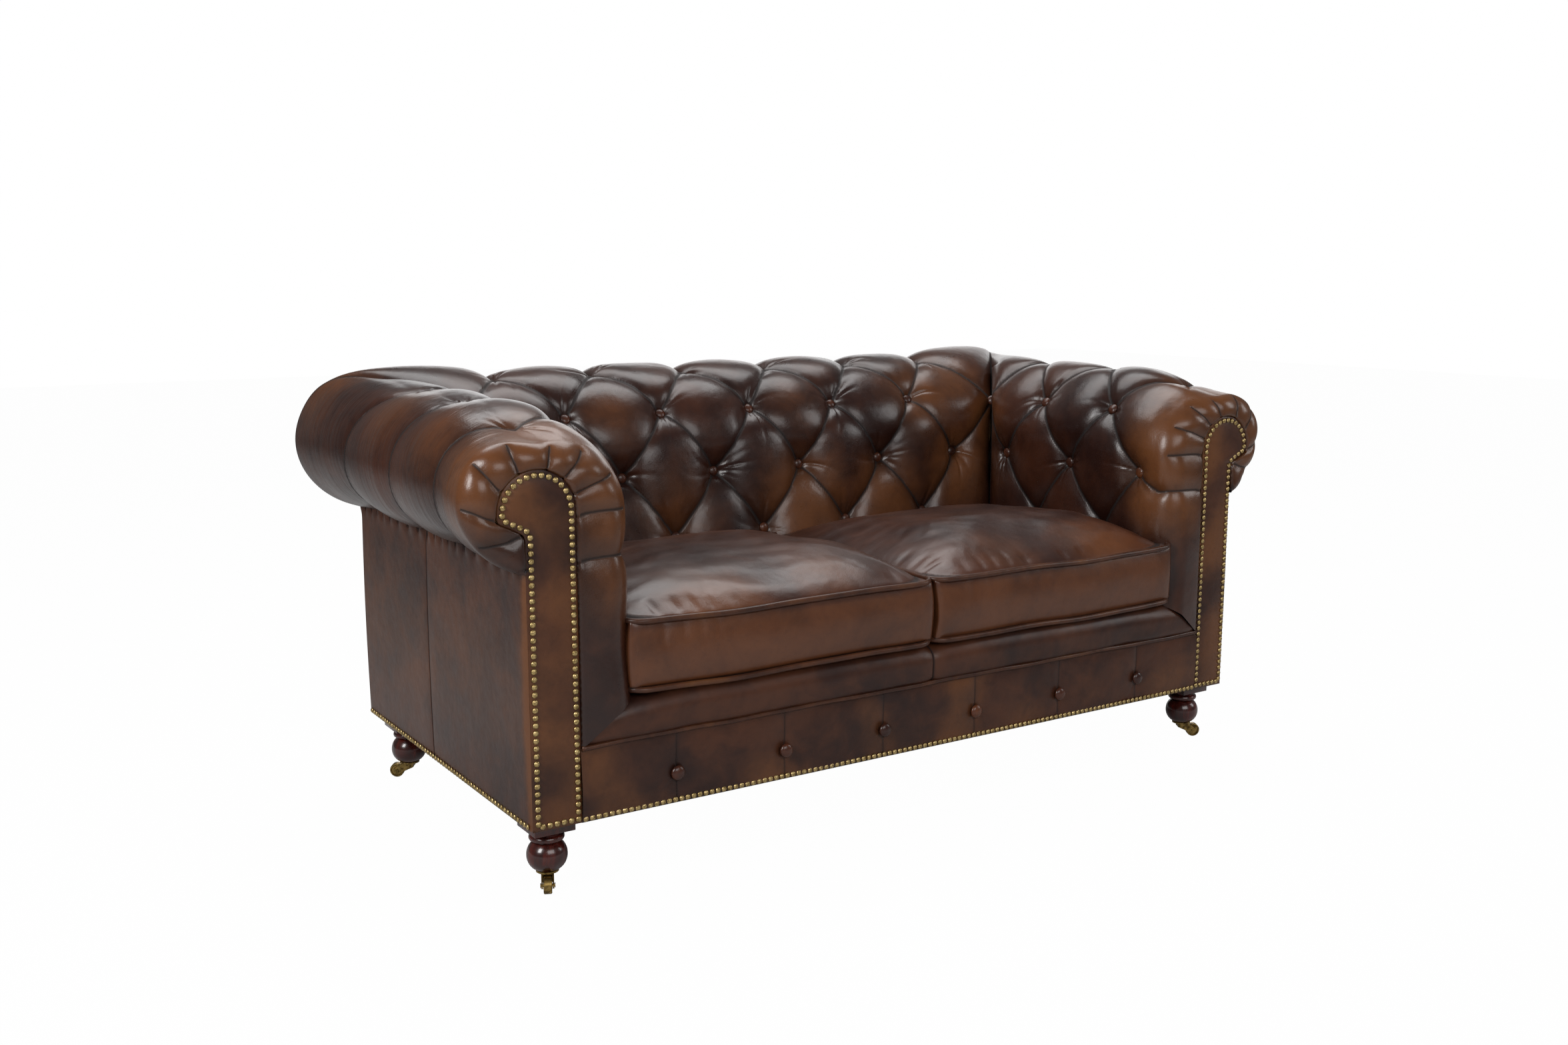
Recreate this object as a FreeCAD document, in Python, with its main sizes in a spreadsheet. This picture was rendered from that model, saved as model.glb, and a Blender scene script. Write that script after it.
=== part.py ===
# A two-cushion chesterfield sofa: deep-buttoned back and arms of one height, rolled tops,
# nailed scroll facings, two loose box cushions, and turned feet on small brass castors.
#
# Millimetres. -Y is the front, +Z is up, and the floor is Z = 0. Left and right are those of
# someone who stands before the sofa, so +X is the right.
# The origin is on the floor below the middle of the whole sofa.
import FreeCAD, Part
import math
import os
import Sketcher

os.makedirs("parts", exist_ok=True)
doc = FreeCAD.newDocument("chesterfield_sofa")
Vector = FreeCAD.Vector

# Driving dimensions, in millimetres, with angles in degrees
SIZES = {
    # Box below the rolls
    "base_width": 1600,
    "base_depth": 795,
    "base_underside": 123,
    "cover_thick": 6,
    "front_overhang": 12,
    "fit_gap": 0.3,
    # Timber
    "rail_height": 125,
    "side_rail_thick": 28,
    "cross_rail_thick": 36,
    "stretcher_width": 44,
    "stretcher_height": 66,
    "block_leg": 90,
    "block_height": 76,
    "post_width": 60,
    "top_rail_width": 60,
    "top_rail_height": 50,
    "top_rail_underside": 600,
    "facing_board_thick": 20,
    # Rolls of the arms and the back
    "roll_radius": 124,
    "roll_inset": 25,
    "roll_height": 668,
    "arm_thick": 171,
    "arm_crest_round": 160,
    "back_thick": 228,
    "back_crest_round": 182,
    "upholstery_foot": 252,
    "back_foot": 262,
    "front_rounding": 26,
    "upholstery_proud": 2,
    # Scroll facing at the front of each arm
    "facing_width": 87,
    "facing_thick": 8,
    "facing_top": 703,
    "facing_reach": 45,
    "facing_lip_height": 624,
    "facing_notch_height": 602.5,
    "facing_lip_round": 14,
    "facing_notch_round": 12,
    # Buttons and the dimples that they pull
    "button_radius": 11,
    "button_rim": 3,
    "button_height": 8,
    "button_sink": 6,
    "dimple_spread": 34,
    "dimple_depth": 45,
    "dimple_seam_turn": 90,
    "button_pitch": 216,
    "arm_button_pitch": 208,
    "arm_button_start": 92,
    "low_row_height": 457,
    "middle_row_height": 585,
    "high_row_height": 711,
    "crest_row_height": 785,
    "back_low_inset": 220,
    "back_middle_inset": 190,
    "back_high_inset": 160,
    "back_crest_inset": 57,
    "arm_middle_inset": 173,
    "arm_high_inset": 155,
    "arm_crest_inset": 35,
    "corner_button_inset": 158,
    "high_row_tilt": 27,
    "border_button_height": 176,
    "border_dimple_depth": 4,
    # Nails
    "nail_head_radius": 4.75,
    "nail_head_height": 3.4,
    "nail_shank_radius": 1,
    "nail_shank_length": 15,
    "nail_margin": 8.5,
    "facing_nail_pitch": 12.5,
    "border_nail_pitch": 11.8,
    "side_nail_pitch": 13.3,
    "nail_line_height": 129,
    # Front border, welt, lip and deck
    "border_top": 244,
    "border_thick": 8,
    "welt_radius": 4,
    "welt_centre_depth": 1,
    "lip_top": 318,
    "lip_proud": 8,
    "lip_bulge_height": 285,
    "lip_depth": 60,
    "lip_foot_depth": 24,
    "dust_cover_thick": 1.5,
    "foot_notch_gap": 1,
    # Springs
    "spring_wire_radius": 2,
    "spring_count": 6,
    "spring_spacing": 180,
    "spring_wave_width": 50,
    "spring_wave_pitch": 44,
    "clip_width": 18,
    "clip_depth": 18,
    "clip_height": 8,
    # Seat cushions
    "cushion_gap": 0.5,
    "cushion_back_gap": 0.7,
    "cushion_edge_height": 440,
    "cushion_crown_height": 500,
    "cushion_corner_round": 22,
    "cover_wall": 2.5,
    # Feet and castors
    "foot_inset": 49,
    "front_foot_depth": 60,
    "rear_foot_inset": 73,
    "plinth_width": 72,
    "plinth_underside": 98,
    "foot_neck_radius": 24,
    "foot_bead_radius": 29,
    "foot_bead_height": 85,
    "foot_groove_radius": 25,
    "foot_groove_height": 66,
    "bun_round": 20,
    "bun_seat_radius": 21,
    "foot_underside": 33,
    "foot_bolt_radius": 4,
    "foot_bolt_length": 110,
    "foot_bolt_foot_height": 70,
    "castor_plate_radius": 19,
    "castor_plate_thick": 3,
    "castor_stem_radius": 4,
    "castor_stem_length": 22,
    "castor_pin_radius": 3,
    "castor_rivet_radius": 5,
    "castor_rivet_height": 2,
    "castor_hub_radius": 10.5,
    "horn_hub_margin": 2,
    "horn_wheel_margin": 3,
    "castor_hub_height": 8.4,
    "castor_trail": 25,
    "wheel_radius": 14,
    "wheel_width": 15,
    "wheel_side_gap": 0.5,
    "wheel_hub_radius": 6,
    "wheel_dish": 2,
    "wheel_rim": 3,
    "horn_arm_thick": 2.5,
    "horn_eye_radius": 6,
    "axle_radius": 2.5,
    "axle_head_radius": 4,
    "axle_head_thick": 1.4,
    "running_gap": 0.05,
    "swivel_gap": 0.3,
    "turn_front_left": -114,
    "turn_front_right": -33,
    "turn_rear_left": 147,
    "turn_rear_right": 60,
}

sheet = doc.addObject("Spreadsheet::Sheet", "Sizes")
for row, (alias, number) in enumerate(SIZES.items(), start=1):
    sheet.set(f"A{row}", alias.replace("_", " "))
    sheet.set(f"B{row}", str(number))
    sheet.setAlias(f"B{row}", alias)
doc.recompute()


class Size:
    """A length or angle: the number it is now, and the formula that ties it to the sheet."""

    def __init__(self, number, formula):
        self.number = number
        self.formula = formula

    def __float__(self):
        return float(self.number)

    def joined(self, sign, other, number):
        words = other.formula if isinstance(other, Size) else str(other)
        return Size(number, f"({self.formula} {sign} {words})")

    def __add__(self, other):
        return self.joined("+", other, float(self) + float(other))

    def __sub__(self, other):
        return self.joined("-", other, float(self) - float(other))

    def __mul__(self, other):
        return self.joined("*", other, float(self) * float(other))

    def __truediv__(self, other):
        return self.joined("/", other, float(self) / float(other))

    def __neg__(self):
        return Size(-float(self), f"(-1 * {self.formula})")

    __rmul__ = __mul__


class SheetSizes:
    """Gives each name in the sheet as a Size."""

    def __getattr__(self, alias):
        return Size(float(sheet.get(alias)), f"Sizes.{alias}")


s = SheetSizes()
ZERO = Size(0.0, "0")

# Planes that many pieces share
half_width = s.base_width / 2
roll_reach = s.roll_radius - s.roll_inset
front = -(s.base_depth + roll_reach - s.front_overhang) / 2
rear = front + s.base_depth
rail_top = s.base_underside + s.rail_height
side_rail_outer = half_width - s.cover_thick
side_rail_inner = side_rail_outer - s.side_rail_thick
rear_rail_back = rear - s.cover_thick
rear_rail_front = rear_rail_back - s.cross_rail_thick
front_rail_front = front + s.border_thick
front_rail_back = front_rail_front + s.cross_rail_thick
facing_inner = half_width - s.facing_width
facing_back = front + s.facing_thick
facing_board_back = facing_back + s.facing_board_thick
seat_half = half_width - s.arm_thick
top_rail_top = s.top_rail_underside + s.top_rail_height
cushion_rear = rear - s.back_thick - s.cushion_back_gap
cushion_front = front - s.front_overhang
deck_underside = rail_top + 3 * s.spring_wire_radius
foot_x = half_width - s.foot_inset
SIDES = {"left": -1, "right": 1}
ENDS = {"front": front + s.front_foot_depth, "rear": rear - s.rear_foot_inset}
TO_FRONT, TO_MIDDLE, UP = Vector(0, -1, 0), Vector(-1, 0, 0), Vector(0, 0, 1)
parts = []


def point(x, y, z):
    return Vector(float(x), float(y), float(z))


def tie(item, prop, value):
    """Bind one property of an object to a formula of the sheet."""
    item.setExpression(prop, value.formula)


def keep(piece, label):
    """Name a finished sub-part, so that it is written to a file of that name."""
    piece.Label = label
    parts.append(piece)
    return piece


def block(name, low, high):
    """A squared piece between two corners, each a triple of sizes."""
    item = doc.addObject("Part::Box", name)
    for prop, axis in (("Length", 0), ("Width", 1), ("Height", 2)):
        tie(item, prop, high[axis] - low[axis])
    for axis, letter in enumerate("xyz"):
        tie(item, f"Placement.Base.{letter}", low[axis])
    return item


def side_block(name, side, low, high):
    """A block given for the right side, or its place on the left side."""
    if side < 0:
        low, high = (-high[0], low[1], low[2]), (-low[0], high[1], high[2])
    return block(name, low, high)


def solid_feature(name, shape):
    item = doc.addObject("Part::Feature", name)
    item.Shape = shape
    item.Placement = FreeCAD.Placement()
    return item


def group(name, items):
    """Several separate solids that share one name, as like fasteners do."""
    item = doc.addObject("Part::Compound", name)
    item.Links = items
    return item


def mirrored(source, name):
    item = doc.addObject("Part::Mirroring", name)
    item.Source = source
    item.Base = Vector(0, 0, 0)
    item.Normal = Vector(1, 0, 0)
    return item


# Sketches: every corner is held by two distances that the sheet drives


def origin_plane(body, role):
    return next(item for item in body.Origin.OriginFeatures if item.Role == role)


def place_point(sketch, item, end, across, up):
    for kind, value in (("DistanceX", across), ("DistanceY", up)):
        index = sketch.addConstraint(
            Sketcher.Constraint(kind, -1, 1, item, end, float(value))
        )
        sketch.setExpression(f"Constraints[{index}]", value.formula)


def new_sketch(body, name, plane, lift=None):
    sketch = body.newObject("Sketcher::SketchObject", name)
    sketch.AttachmentSupport = (origin_plane(body, plane), [""])
    sketch.MapMode = "FlatFace"
    if lift is not None:
        sketch.setExpression("AttachmentOffset.Base.z", lift.formula)
    return sketch


def draw_outline(sketch, corners):
    """Closed outline through (across, up) or (across, up, bulge radius to the next corner)."""
    points = [Vector(float(corner[0]), float(corner[1]), 0) for corner in corners]
    edges = []
    for index, corner in enumerate(corners):
        start, end = points[index], points[(index + 1) % len(points)]
        if len(corner) == 3:
            radius = float(corner[2])
            middle = (start + end) / 2
            chord = end - start
            outward = Vector(chord.y, -chord.x, 0).normalize()
            rise = radius - math.sqrt(radius**2 - (chord.Length / 2) ** 2)
            arc = Part.Arc(start, middle + outward * rise, end)
            edges.append(sketch.addGeometry(arc, False))
            # An arc that was drawn clockwise keeps its ends the other way round
            stored = sketch.Geometry[edges[-1]]
            flipped = stored.StartPoint.distanceToPoint(start) > 1e-6
            bend = sketch.addConstraint(Sketcher.Constraint("Radius", edges[-1], radius))
            sketch.setExpression(f"Constraints[{bend}]", corner[2].formula)
            edges[-1] = (edges[-1], 2 if flipped else 1, 1 if flipped else 2)
        else:
            line = sketch.addGeometry(Part.LineSegment(start, end), False)
            edges.append((line, 1, 2))
    for index, (item, first, last) in enumerate(edges):
        following, following_first, _ = edges[(index + 1) % len(edges)]
        sketch.addConstraint(
            Sketcher.Constraint("Coincident", item, last, following, following_first)
        )
        place_point(sketch, item, first, corners[index][0], corners[index][1])


def revolve(body, name, corners, plane, axis_across=None, lift=None):
    """Turn an outline round a line that is parallel to the sketch's upright axis."""
    sketch = new_sketch(body, f"{name}_profile", plane, lift)
    draw_outline(sketch, corners)
    turned = body.newObject("PartDesign::Revolution", name)
    turned.Profile = sketch
    if axis_across is None:
        turned.ReferenceAxis = (sketch, ["V_Axis"])
    else:
        low, high = Vector(float(axis_across), 0, 0), Vector(float(axis_across), 9, 0)
        line = sketch.addGeometry(Part.LineSegment(low, high), True)
        place_point(sketch, line, 1, axis_across, ZERO)
        place_point(sketch, line, 2, axis_across, s.wheel_radius)
        turned.ReferenceAxis = (sketch, ["Axis0"])
    turned.Angle = 360
    return turned


def pad(body, name, corners, plane, length, lift=None, both_ways=False):
    sketch = new_sketch(body, f"{name}_outline", plane, lift)
    draw_outline(sketch, corners)
    feature = body.newObject("PartDesign::Pad", name)
    feature.Profile = sketch
    tie(feature, "Length", length)
    feature.Midplane = both_ways
    return feature


def pocket_disc(body, name, plane, across, up, radius, depth, both_ways=False, lift=None):
    sketch = new_sketch(body, f"{name}_circle", plane, lift)
    circle = Part.Circle(Vector(float(across), float(up), 0), Vector(0, 0, 1), float(radius))
    ring = sketch.addGeometry(circle, False)
    bend = sketch.addConstraint(Sketcher.Constraint("Radius", ring, float(radius)))
    sketch.setExpression(f"Constraints[{bend}]", radius.formula)
    place_point(sketch, ring, 3, across, up)
    feature = body.newObject("PartDesign::Pocket", name)
    feature.Profile = sketch
    tie(feature, "Length", depth)
    feature.Midplane = both_ways
    feature.Reversed = not both_ways
    return feature


# Timber frame: seat rails, stretcher, corner blocks, posts and top rails

front_rail = doc.addObject("PartDesign::Body", "front_rail")
pad(
    front_rail,
    "front_rail_bar",
    [
        (-facing_inner, front_rail_front),
        (facing_inner, front_rail_front),
        (facing_inner, facing_board_back),
        (side_rail_inner, facing_board_back),
        (side_rail_inner, front_rail_back),
        (-side_rail_inner, front_rail_back),
        (-side_rail_inner, facing_board_back),
        (-facing_inner, facing_board_back),
    ],
    "XY_Plane",
    s.rail_height,
    lift=s.base_underside,
)
keep(front_rail, "front_rail")
keep(
    block(
        "rear_rail",
        (-side_rail_inner, rear_rail_front, s.base_underside),
        (side_rail_inner, rear_rail_back, rail_top),
    ),
    "rear_rail",
)
for side_name, side in SIDES.items():
    keep(
        side_block(
            f"side_rail_{side_name}",
            side,
            (side_rail_inner, facing_board_back, s.base_underside),
            (side_rail_outer, rear_rail_back, rail_top),
        ),
        f"side_rail_{side_name}",
    )
keep(
    block(
        "centre_stretcher",
        (-s.stretcher_width / 2, front_rail_back, s.base_underside),
        (
            s.stretcher_width / 2,
            rear_rail_front,
            s.base_underside + s.stretcher_height,
        ),
    ),
    "centre_stretcher",
)


def corner_block(name, side, wall, step, foot_y):
    """A triangular glue block in one corner of the rails, drilled for the foot's bolt."""
    body = doc.addObject("PartDesign::Body", name)
    inner = side * side_rail_inner
    pad(
        body,
        f"{name}_wedge",
        [
            (inner, wall),
            (inner - side * s.block_leg, wall),
            (inner, wall + step * s.block_leg),
        ],
        "XY_Plane",
        s.block_height,
        lift=s.base_underside,
    )
    pocket_disc(
        body,
        f"{name}_drilling",
        "XY_Plane",
        side * foot_x,
        foot_y,
        s.foot_bolt_radius + s.running_gap,
        s.block_height,
        lift=s.base_underside,
    )
    return body


blocks = []
for side_name, side in SIDES.items():
    for end_name, (wall, step) in {
        "front": (front_rail_back, 1),
        "rear": (rear_rail_front, -1),
    }.items():
        name = f"block_{end_name}_{side_name}"
        blocks.append(corner_block(name, side, wall, step, ENDS[end_name]))
keep(group("corner_blocks", blocks), "corner_blocks")

# Each arm has a middle and a rear post below a top rail, and the back has three posts
arm_rail_end = rear_rail_back - s.top_rail_width
for side_name, side in SIDES.items():
    posts = []
    arm_length = arm_rail_end - facing_board_back
    for place, post_end in {
        "middle": facing_board_back + arm_length / 2,
        "rear": arm_rail_end,
    }.items():
        posts.append(
            side_block(
                f"arm_post_{place}_{side_name}",
                side,
                (side_rail_inner, post_end - s.post_width, rail_top),
                (side_rail_outer, post_end, s.top_rail_underside),
            )
        )
    keep(group(f"arm_posts_{side_name}", posts), f"arm_posts_{side_name}")
    keep(
        side_block(
            f"arm_rail_{side_name}",
            side,
            (side_rail_outer - s.top_rail_width, facing_board_back, s.top_rail_underside),
            (side_rail_outer, arm_rail_end, top_rail_top),
        ),
        f"arm_rail_{side_name}",
    )
back_post_front = rear_rail_back - s.side_rail_thick
back_posts = []
for place, middle in {
    "left": -(side_rail_outer - s.post_width / 2),
    "centre": ZERO,
    "right": side_rail_outer - s.post_width / 2,
}.items():
    back_posts.append(
        block(
            f"back_post_{place}",
            (middle - s.post_width / 2, back_post_front, rail_top),
            (middle + s.post_width / 2, rear_rail_back, s.top_rail_underside),
        )
    )
keep(group("back_posts", back_posts), "back_posts")
keep(
    block(
        "back_top_rail",
        (-side_rail_outer, arm_rail_end, s.top_rail_underside),
        (side_rail_outer, rear_rail_back, top_rail_top),
    ),
    "back_top_rail",
)

# Scroll facings: a shaped front post and the nailed leather panel on it


def rounded_outline(corners):
    """Closed wire in the X-Z plane through (x, z, radius) corners, rounded by tangent arcs."""
    edges = []
    count = len(corners)
    starts, ends, middles = [], [], []
    for index, (x, z, radius) in enumerate(corners):
        here = point(x, 0, z)
        before = point(corners[index - 1][0], 0, corners[index - 1][1])
        after_corner = corners[(index + 1) % count]
        after = point(after_corner[0], 0, after_corner[1])
        to_before = (before - here).normalize()
        to_after = (after - here).normalize()
        half_angle = to_before.getAngle(to_after) / 2
        setback = radius / math.tan(half_angle)
        starts.append(here + to_before * setback)
        ends.append(here + to_after * setback)
        bisector = (to_before + to_after).normalize()
        reach = radius / math.sin(half_angle) - radius
        middles.append(here + bisector * reach)
    for index in range(count):
        if corners[index][2] > 0:
            arc = Part.Arc(starts[index], middles[index], ends[index])
            edges.append(arc.toShape())
        following = (index + 1) % count
        if (starts[following] - ends[index]).Length > 1e-6:
            line = Part.LineSegment(ends[index], starts[following])
            edges.append(line.toShape())
    return Part.Wire(Part.__sortEdges__(edges))


def scroll_outline(outer_x, foot):
    """The right facing's outline. Its top is a half circle as wide as the scroll."""
    inner_x = float(facing_inner)
    reach_x = float(half_width + s.facing_reach)
    top = float(s.facing_top)
    top_round = (reach_x - inner_x) / 2
    return rounded_outline(
        [
            (inner_x, float(foot), 0),
            (inner_x, top, top_round),
            (reach_x, top, top_round),
            (reach_x, float(s.facing_lip_height), float(s.facing_lip_round)),
            (float(outer_x), float(s.facing_notch_height), float(s.facing_notch_round)),
            (float(outer_x), float(foot), 0),
        ]
    )


def scroll_panel(outline, front_y, thick):
    face = Part.Face(outline)
    face.translate(Vector(0, float(front_y), 0))
    return face.extrude(Vector(0, float(thick), 0))


facing_wire = scroll_outline(half_width, s.base_underside)
facing_right = solid_feature(
    "facing_right", scroll_panel(facing_wire, front, s.facing_thick)
)
board_wire = scroll_outline(side_rail_outer, s.base_underside)
facing_board_right = solid_feature(
    "facing_board_right",
    scroll_panel(board_wire, facing_back, s.facing_board_thick),
)
keep(mirrored(facing_right, "facing_left"), "facing_left")
keep(facing_right, "facing_right")
keep(mirrored(facing_board_right, "facing_board_left"), "facing_board_left")
keep(facing_board_right, "facing_board_right")

# Rolled upholstery of the arms and the back.
# An inset is measured inwards from the outer face of the box, and is negative in the roll.


def arc_about(centre, radius, start, end):
    """An arc of a section, between two angles in degrees about its centre."""

    def at(degrees):
        turn = math.radians(degrees)
        return centre + Vector(radius * math.cos(turn), radius * math.sin(turn), 0)

    return Part.Arc(at(start), at((start + end) / 2), at(end)).toShape()


def roll_section(thick, foot, crest_round):
    """Section of the padding, as (inset, height) edges: inner face, crest, roll and frame side."""
    radius, inset, height = float(s.roll_radius), float(s.roll_inset), float(s.roll_height)
    foot, thick, crest_round = float(foot), float(thick), float(crest_round)
    under = height - math.sqrt(radius**2 - inset**2)
    frame_side = float(s.cover_thick)
    post_side = frame_side + float(s.side_rail_thick)
    rail_side = frame_side + float(s.top_rail_width)
    rail_foot, rail_head = float(s.top_rail_underside), float(top_rail_top)
    edge_height = float(s.cushion_edge_height)

    # The inner face rises from the cushion's edge to touch the arc that leads to the crest
    crest_centre = Vector(inset, height + radius - crest_round, 0)
    from_centre = Vector(thick, edge_height, 0) - crest_centre
    touch = math.atan2(from_centre.y, from_centre.x)
    touch += math.acos(crest_round / from_centre.Length)
    roll_end = 360 - math.degrees(math.acos(-inset / radius))
    inner_arc = arc_about(crest_centre, crest_round, math.degrees(touch), 90)
    shoulder = crest_centre + Vector(math.cos(touch), math.sin(touch), 0) * crest_round

    def path(*points):
        ends = [Vector(x, y, 0) for x, y in points]
        return [Part.LineSegment(*pair).toShape() for pair in zip(ends, ends[1:])]

    edges = path((post_side, foot), (thick, foot), (thick, edge_height), (shoulder.x, shoulder.y))
    edges.append(inner_arc)
    edges.append(arc_about(Vector(inset, height, 0), radius, 90, roll_end))
    edges += path(
        (0, under),
        (frame_side, under),
        (frame_side, rail_head),
        (rail_side, rail_head),
        (rail_side, rail_foot),
        (post_side, rail_foot),
        (post_side, foot),
    )
    return Part.Face(Part.Wire(edges))


def mitre_depth(inset):
    """Where the mitre between arm and back lies, as an inset of the back."""
    reach = float(roll_reach)
    slope = (float(s.back_thick) + reach) / (float(s.arm_thick) + reach)
    return (inset + reach) * slope - reach


def plan_prism(corners):
    """An upright prism over a plan, tall enough to hold the whole sofa."""
    ring = [Vector(x, y, -1) for x, y in corners]
    face = Part.Face(Part.makePolygon(ring + ring[:1]))
    return face.extrude(Vector(0, 0, float(s.roll_height) * 2))


widest = max(float(s.roll_inset + s.arm_crest_round), float(s.arm_thick)) + 1
outermost = -float(roll_reach) - 1
mitre_inner = (
    float(half_width) - widest,
    float(rear) - mitre_depth(widest),
)
mitre_outer = (
    float(half_width) - outermost,
    float(rear) - mitre_depth(outermost),
)


def cone_dimple(place, outward, floor_radius):
    """The funnel that a button pulls, from its flat floor out through the surface."""
    spread = floor_radius + float(s.dimple_spread)
    cone = Part.makeCone(floor_radius, spread, float(s.dimple_depth), place, outward)
    # The cone's own seam is turned away from the padding's lengthways edges
    cone.rotate(place, outward, float(s.dimple_seam_turn))
    return cone


def dome(radius, height):
    """A cap of a ball, standing on Z = 0."""
    ball = (radius**2 + height**2) / (2 * height)
    latitude = math.degrees(math.asin((ball - height) / ball))
    return Part.makeSphere(ball, Vector(0, 0, height - ball), UP, latitude, 90, 360)


def button_shape():
    """A domed covered button standing on its flat back."""
    radius, rim = float(s.button_radius), float(s.button_rim)
    cap = dome(radius, float(s.button_height) - rim)
    cap.translate(UP * rim)
    return Part.makeCylinder(radius, rim).fuse(cap)


def standing(shape, place, outward):
    """A copy of a shape whose own +Z is turned to point outward at a place."""
    copy = shape.copy()
    copy.Placement = FreeCAD.Placement(place, FreeCAD.Rotation(Vector(0, 0, 1), outward))
    return copy


def tilted(level, degrees):
    """A level direction, tilted up."""
    turn = math.radians(degrees)
    return Vector(level.x * math.cos(turn), level.y * math.cos(turn), math.sin(turn))


def tuft_places(along_places, inset, height, towards, tilt, back):
    """(floor of the dimple, outward direction) for one row of buttons."""
    sink = float(s.button_sink)
    outward = tilted(towards, tilt)
    places = []
    for along in along_places:
        if back:
            surface = Vector(along, float(rear) - float(inset), float(height))
        else:
            surface = Vector(float(half_width) - float(inset), along, float(height))
        places.append((surface - outward * sink, outward))
    return places


# Whole pitches across the back, and half pitches between them
pitch = float(s.button_pitch)
whole_pitches = [step * pitch for step in range(-2, 3)]
half_pitches = [(step + 0.5) * pitch for step in range(-3, 3)]
arm_first = float(front + s.arm_button_start)
arm_pitch = float(s.arm_button_pitch)
arm_whole = [arm_first + step * arm_pitch for step in range(3)]
arm_between = [arm_first + (step + 0.5) * arm_pitch for step in range(2)]
high_tilt = float(s.high_row_tilt)
back_tufts = (
    tuft_places(whole_pitches, s.back_low_inset, s.low_row_height, TO_FRONT, 0, True)
    + tuft_places(half_pitches, s.back_middle_inset, s.middle_row_height, TO_FRONT, 0, True)
    + tuft_places(
        whole_pitches, s.back_high_inset, s.high_row_height, TO_FRONT, high_tilt, True
    )
)
back_crest = tuft_places(
    half_pitches, s.back_crest_inset, s.crest_row_height, TO_FRONT, 90, True
)
arm_tufts = tuft_places(
    arm_whole, s.arm_middle_inset, s.middle_row_height, TO_MIDDLE, 0, False
) + tuft_places(
    arm_between, s.arm_high_inset, s.high_row_height, TO_MIDDLE, high_tilt, False
)
arm_crest = tuft_places(
    arm_whole, s.arm_crest_inset, s.crest_row_height, TO_MIDDLE, 90, False
)


def corner_tuft(side):
    """The button in the corner, on the mitre between the back and one arm."""
    inset = float(s.corner_button_inset)
    level = Vector(-side, -1, 0).normalize()
    outward = tilted(level, high_tilt)
    surface = Vector(
        side * (float(half_width) - inset),
        float(rear) - mitre_depth(inset),
        float(s.high_row_height),
    )
    return surface - outward * float(s.button_sink), outward


corner_tufts = [corner_tuft(side) for side in SIDES.values()]
floor_radius = float(s.button_radius + s.fit_gap)
crest_floor = float(s.button_rim)


def dimpled(shape, tufts, crests):
    cones = [cone_dimple(place, outward, floor_radius) for place, outward in tufts]
    cones += [cone_dimple(place, outward, crest_floor) for place, outward in crests]
    for cone in cones:
        shape = shape.cut(cone)
    return shape


def only_solid(shape):
    """The one solid of a shape that has to be one piece."""
    solids = shape.Solids
    if len(solids) != 1:
        raise ValueError(f"one piece expected, but {len(solids)} made")
    return solids[0]


def back_padding():
    section = roll_section(s.back_thick, s.back_foot, s.back_crest_round)
    # The section's own x is the inset, which runs towards the front, and its y is the height
    section.Placement = FreeCAD.Placement(
        Vector(-float(half_width) * 1.5, float(rear), 0),
        FreeCAD.Rotation(Vector(0, -1, 0), Vector(0, 0, 1), Vector(-1, 0, 0), "ZXY"),
    )
    length = float(half_width) * 3
    bar = section.extrude(Vector(length, 0, 0))
    plan = plan_prism(
        [
            mitre_inner,
            mitre_outer,
            (-mitre_outer[0], mitre_outer[1]),
            (-mitre_inner[0], mitre_inner[1]),
        ]
    )
    padding = bar.common(plan)
    for side in SIDES.values():
        # The arm's top rail passes the mitre and butts against the back's top rail
        rail_edges = sorted(side * float(side_rail_outer - inset) for inset in (0, s.top_rail_width))
        room = Part.makeBox(
            float(s.top_rail_width),
            float(s.base_depth) / 2,
            float(s.top_rail_height),
            Vector(rail_edges[0], float(arm_rail_end - s.base_depth / 2), float(s.top_rail_underside)),
        )
        padding = padding.cut(room)
    return only_solid(dimpled(padding, back_tufts + corner_tufts, back_crest))


def arm_padding():
    """The right arm's padding, rounded at the front and recessed for the facing."""
    section = roll_section(s.arm_thick, s.upholstery_foot, s.arm_crest_round)
    section.Placement = FreeCAD.Placement(
        Vector(float(half_width), float(front - s.upholstery_proud), 0),
        FreeCAD.Rotation(Vector(-1, 0, 0), Vector(0, 0, 1), Vector(0, 1, 0), "ZXY"),
    )
    bar = section.extrude(Vector(0, float(s.base_depth) * 1.5, 0))
    rounding = float(s.front_rounding)
    front_y = float(front - s.upholstery_proud)
    crest_side = float(half_width - s.cover_thick)
    rims = []
    for edge in bar.Edges:
        box = edge.BoundBox
        flat = abs(box.YMin - front_y) < 1e-3 and abs(box.YMax - front_y) < 1e-3
        seat_side = box.XMax < float(half_width - s.arm_thick) + 0.5 * rounding
        over_top = box.ZMax > float(top_rail_top) + rounding
        roll_side = box.XMin > crest_side - 1 and box.XMax > float(half_width) + rounding
        if flat and (seat_side or over_top or roll_side):
            rims.append(edge)
    bar = bar.makeFillet(rounding, rims)
    plan = plan_prism(
        [
            (mitre_inner[0], front_y - 1),
            (mitre_outer[0], front_y - 1),
            mitre_outer,
            mitre_inner,
        ]
    )
    gap = float(s.fit_gap)
    recess = scroll_outline(half_width, s.upholstery_foot).makeOffset2D(gap)
    recess = Part.Face(recess)
    recess.translate(Vector(0, front_y - 1, 0))
    depth = float(facing_board_back) - front_y + 1
    recess = recess.extrude(Vector(0, depth, 0))
    padding = bar.common(plan).cut(recess)
    return only_solid(dimpled(padding, arm_tufts + [corner_tuft(1)], arm_crest))


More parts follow.
